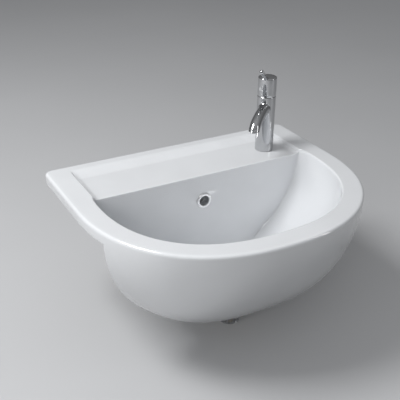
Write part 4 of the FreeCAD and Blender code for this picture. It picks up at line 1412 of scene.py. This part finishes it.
class BASIN_OT_fixings(bpy.types.Operator):
    """Build the stud and nut under the deck and finish the gasket and the plate"""

    bl_idname = "basin.fixings"
    bl_label = "Tap fixings"

    def execute(self, context):
        """Make the threaded stud and its nut."""
        s = context.scene.basin_sizes
        low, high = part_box("tap_stud")
        axis = ((low[0] + high[0]) / 2, (low[1] + high[1]) / 2)
        radius = (high[0] - low[0]) / 2
        depth, pitch, core = 0.0007, 0.00125, 0.0004
        grid = thread_sheet(axis, radius, depth, pitch, core, low[2], s.step, 40)
        thread = sheet_piece("stud_thread", grid, "zinc", THREADED)
        plain = round_bar(radius - 0.0004, s.step, high[2])
        rod = turned_piece("stud_rod", plain, "zinc", (*axis, 0.0), count=48, radius=0.0006)
        for piece in (thread, rod):
            carry(piece, "basin", "tap_stud")
        low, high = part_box("stud_nut")
        grid = nut_sheet(axis, 0.013, low[2], high[2], radius + 0.0001, 0.0006)
        carry(sheet_piece("stud_hexagon", grid, "brass", SIX_SIDED), "basin", "stud_nut")
        finish_nodes(clamp_gasket="rubber", clamp_plate="zinc")
        return {"FINISHED"}


# ------------------------------------------------------------------------ stage

FOCAL_LENGTH, SENSOR = 64.47, 36.0              # millimetres
CAMERA_PLACE = (-0.62052, -1.2224, 0.61936)
CAMERA_TURN = (29.28, 27.77, 0.71)              # heading, tilt and roll, degrees
FLOOR_GAP = 0.001                               # air between the object and the floor
FLOOR_HALF = 9                                  # floor from its middle to its sides
SKY = ((0.0, 0.7), (0.5, 1.0), (0.62, 1.1), (0.8, 1.7), (1.0, 3.0))
# Each stop: 0 straight down, 0.5 at the horizon, 1 overhead; share of the backdrop's colour.


def lamp(name, place, target, size, power, long=None, mirrored=True):
    """A soft square or oblong lamp aimed at a point; shiny surfaces may mirror it or not."""
    data = bpy.data.lights.new(name, "AREA")
    data.shape = "RECTANGLE" if long else "SQUARE"
    data.size = size
    if long:
        data.size_y = long
    data.energy = power
    piece = bpy.data.objects.new(name, data)
    piece.location = place
    piece.rotation_euler = (Vector(target) - Vector(place)).to_track_quat("-Z", "Y").to_euler()
    piece.visible_glossy = mirrored
    bpy.context.scene.collection.objects.link(piece)


class BASIN_OT_stage(bpy.types.Operator):
    """Set the floor, the lamps and the camera"""

    bl_idname = "basin.stage"
    bl_label = "Studio"

    def execute(self, context):
        """Make the studio at the photograph's angle."""
        look = context.scene.basin_finishes
        span = np.linspace(-FLOOR_HALF, FLOOR_HALF, 13)
        grid = stack(span[None, :], span[:, None], CAD_BOX[0][2] - FLOOR_GAP)
        ground = Shader("studio_floor", look.floor, 0.85)
        ground.tones(ground.noise(1.5, 3), 0.985, 1.01)
        ground.bump(ground.noise(300, 2), 0.05, 0.0003)
        ground.dim_for_bounces(0.4)
        floor = merged_object("studio_floor", [(grid[::-1], 0)], [ground.material], closed=False)
        middle = (0.0, -0.3, -0.05)
        lamp("key_lamp", (-1.25, 0.25, 1.95), (0.0, -0.2, 0.0), 0.9, 43)
        lamp("front_lamp", (-1.7, -2.0, 1.1), middle, 0.8, 13, mirrored=False)
        lamp("side_lamp", (-2.2, -0.75, 0.45), middle, 0.9, 12, mirrored=False)
        lamp("strip_lamp", (1.1, -1.2, 0.5), (0.17, -0.08, 0.1), 0.15, 2.4, long=1.2)
        self.world(context.scene, look.back)
        self.camera(context.scene)
        context.scene.view_settings.view_transform = "Standard"
        return {"FINISHED"}

    def world(self, scene, back):
        """A plain sky in the backdrop's colour, three times as bright overhead."""
        world = bpy.data.worlds.new("studio")
        world.use_nodes = True
        tree = world.node_tree
        tree.nodes.clear()
        place = add_node(tree, "TexCoord").outputs["Generated"]
        up = add_node(tree, "SeparateXYZ", Vector=place).outputs["Z"]
        height = add_node(tree, "MapRange", Value=up, From_Min=-1.0).outputs["Result"]
        ramp = add_node(tree, "ValToRGB", Fac=height)
        stops = ramp.color_ramp.elements
        while len(stops) < len(SKY):
            stops.new(0.5)
        for element, (where, share) in zip(stops, SKY):
            element.position = where
            element.color = (*(share * tone for tone in back), 1)
        soft = add_node(tree, "Background", Color=ramp.outputs["Color"])
        add_node(tree, "OutputWorld", Surface=soft.outputs["Background"])
        scene.world = world

    def camera(self, scene):
        """The photograph's place, heading, tilt and roll."""
        data = bpy.data.cameras.new("photo_camera")
        data.lens, data.sensor_width = FOCAL_LENGTH, SENSOR
        camera = bpy.data.objects.new("photo_camera", data)
        yaw, pitch, roll = (math.radians(angle) for angle in CAMERA_TURN)
        ahead = Vector((math.sin(yaw) * math.cos(pitch), math.cos(yaw) * math.cos(pitch),
                        -math.sin(pitch)))
        right = Vector((math.cos(yaw), -math.sin(yaw), 0.0))
        up = right.cross(ahead)
        side = math.cos(roll) * right + math.sin(roll) * up
        top = math.cos(roll) * up - math.sin(roll) * right
        turn = Matrix((side, top, -ahead)).transposed().to_4x4()
        camera.matrix_world = Matrix.Translation(CAMERA_PLACE) @ turn
        scene.collection.objects.link(camera)
        scene.camera = camera


# ------------------------------------------------------------------------ panel

class BASIN_PT_panel(bpy.types.Panel):
    """Sizes, colours and the steps that build the basin"""

    bl_idname = "BASIN_PT_panel"
    bl_label = "Semi recessed basin"
    bl_space_type = "VIEW_3D"
    bl_region_type = "UI"
    bl_category = "Basin"

    def draw(self, context):
        """List every step and every property."""
        for operator in OPERATORS:
            self.layout.operator(operator.bl_idname)
        for group in GROUPS:
            sizes = getattr(context.scene, group)
            box = self.layout.box()
            for name in sizes.bl_rna.properties.keys():
                if name not in {"rna_type", "name"}:
                    box.prop(sizes, name)


OPERATORS = (
    BASIN_OT_shell, BASIN_OT_overflow, BASIN_OT_waste, BASIN_OT_tap, BASIN_OT_lever,
    BASIN_OT_fixings, BASIN_OT_stage,
)
GROUPS = {
    "basin_sizes": BasinSizes,
    "basin_tap": TapSizes,
    "basin_waste": WasteSizes,
    "basin_finishes": Finishes,
}


def register():
    """Register the properties, the steps and the panel."""
    for name, group in GROUPS.items():
        bpy.utils.register_class(group)
        setattr(bpy.types.Scene, name, bpy.props.PointerProperty(type=group))
    for operator in OPERATORS:
        bpy.utils.register_class(operator)
    bpy.utils.register_class(BASIN_PT_panel)


def unregister():
    """Take everything back out."""
    bpy.utils.unregister_class(BASIN_PT_panel)
    for operator in reversed(OPERATORS):
        bpy.utils.unregister_class(operator)
    for name, group in reversed(tuple(GROUPS.items())):
        delattr(bpy.types.Scene, name)
        bpy.utils.unregister_class(group)


def main():
    """Build the whole object."""
    register()
    for step in ("stage", "shell", "overflow", "waste", "tap", "lever", "fixings"):
        getattr(bpy.ops.basin, step)()


if __name__ == "__main__":
    main()
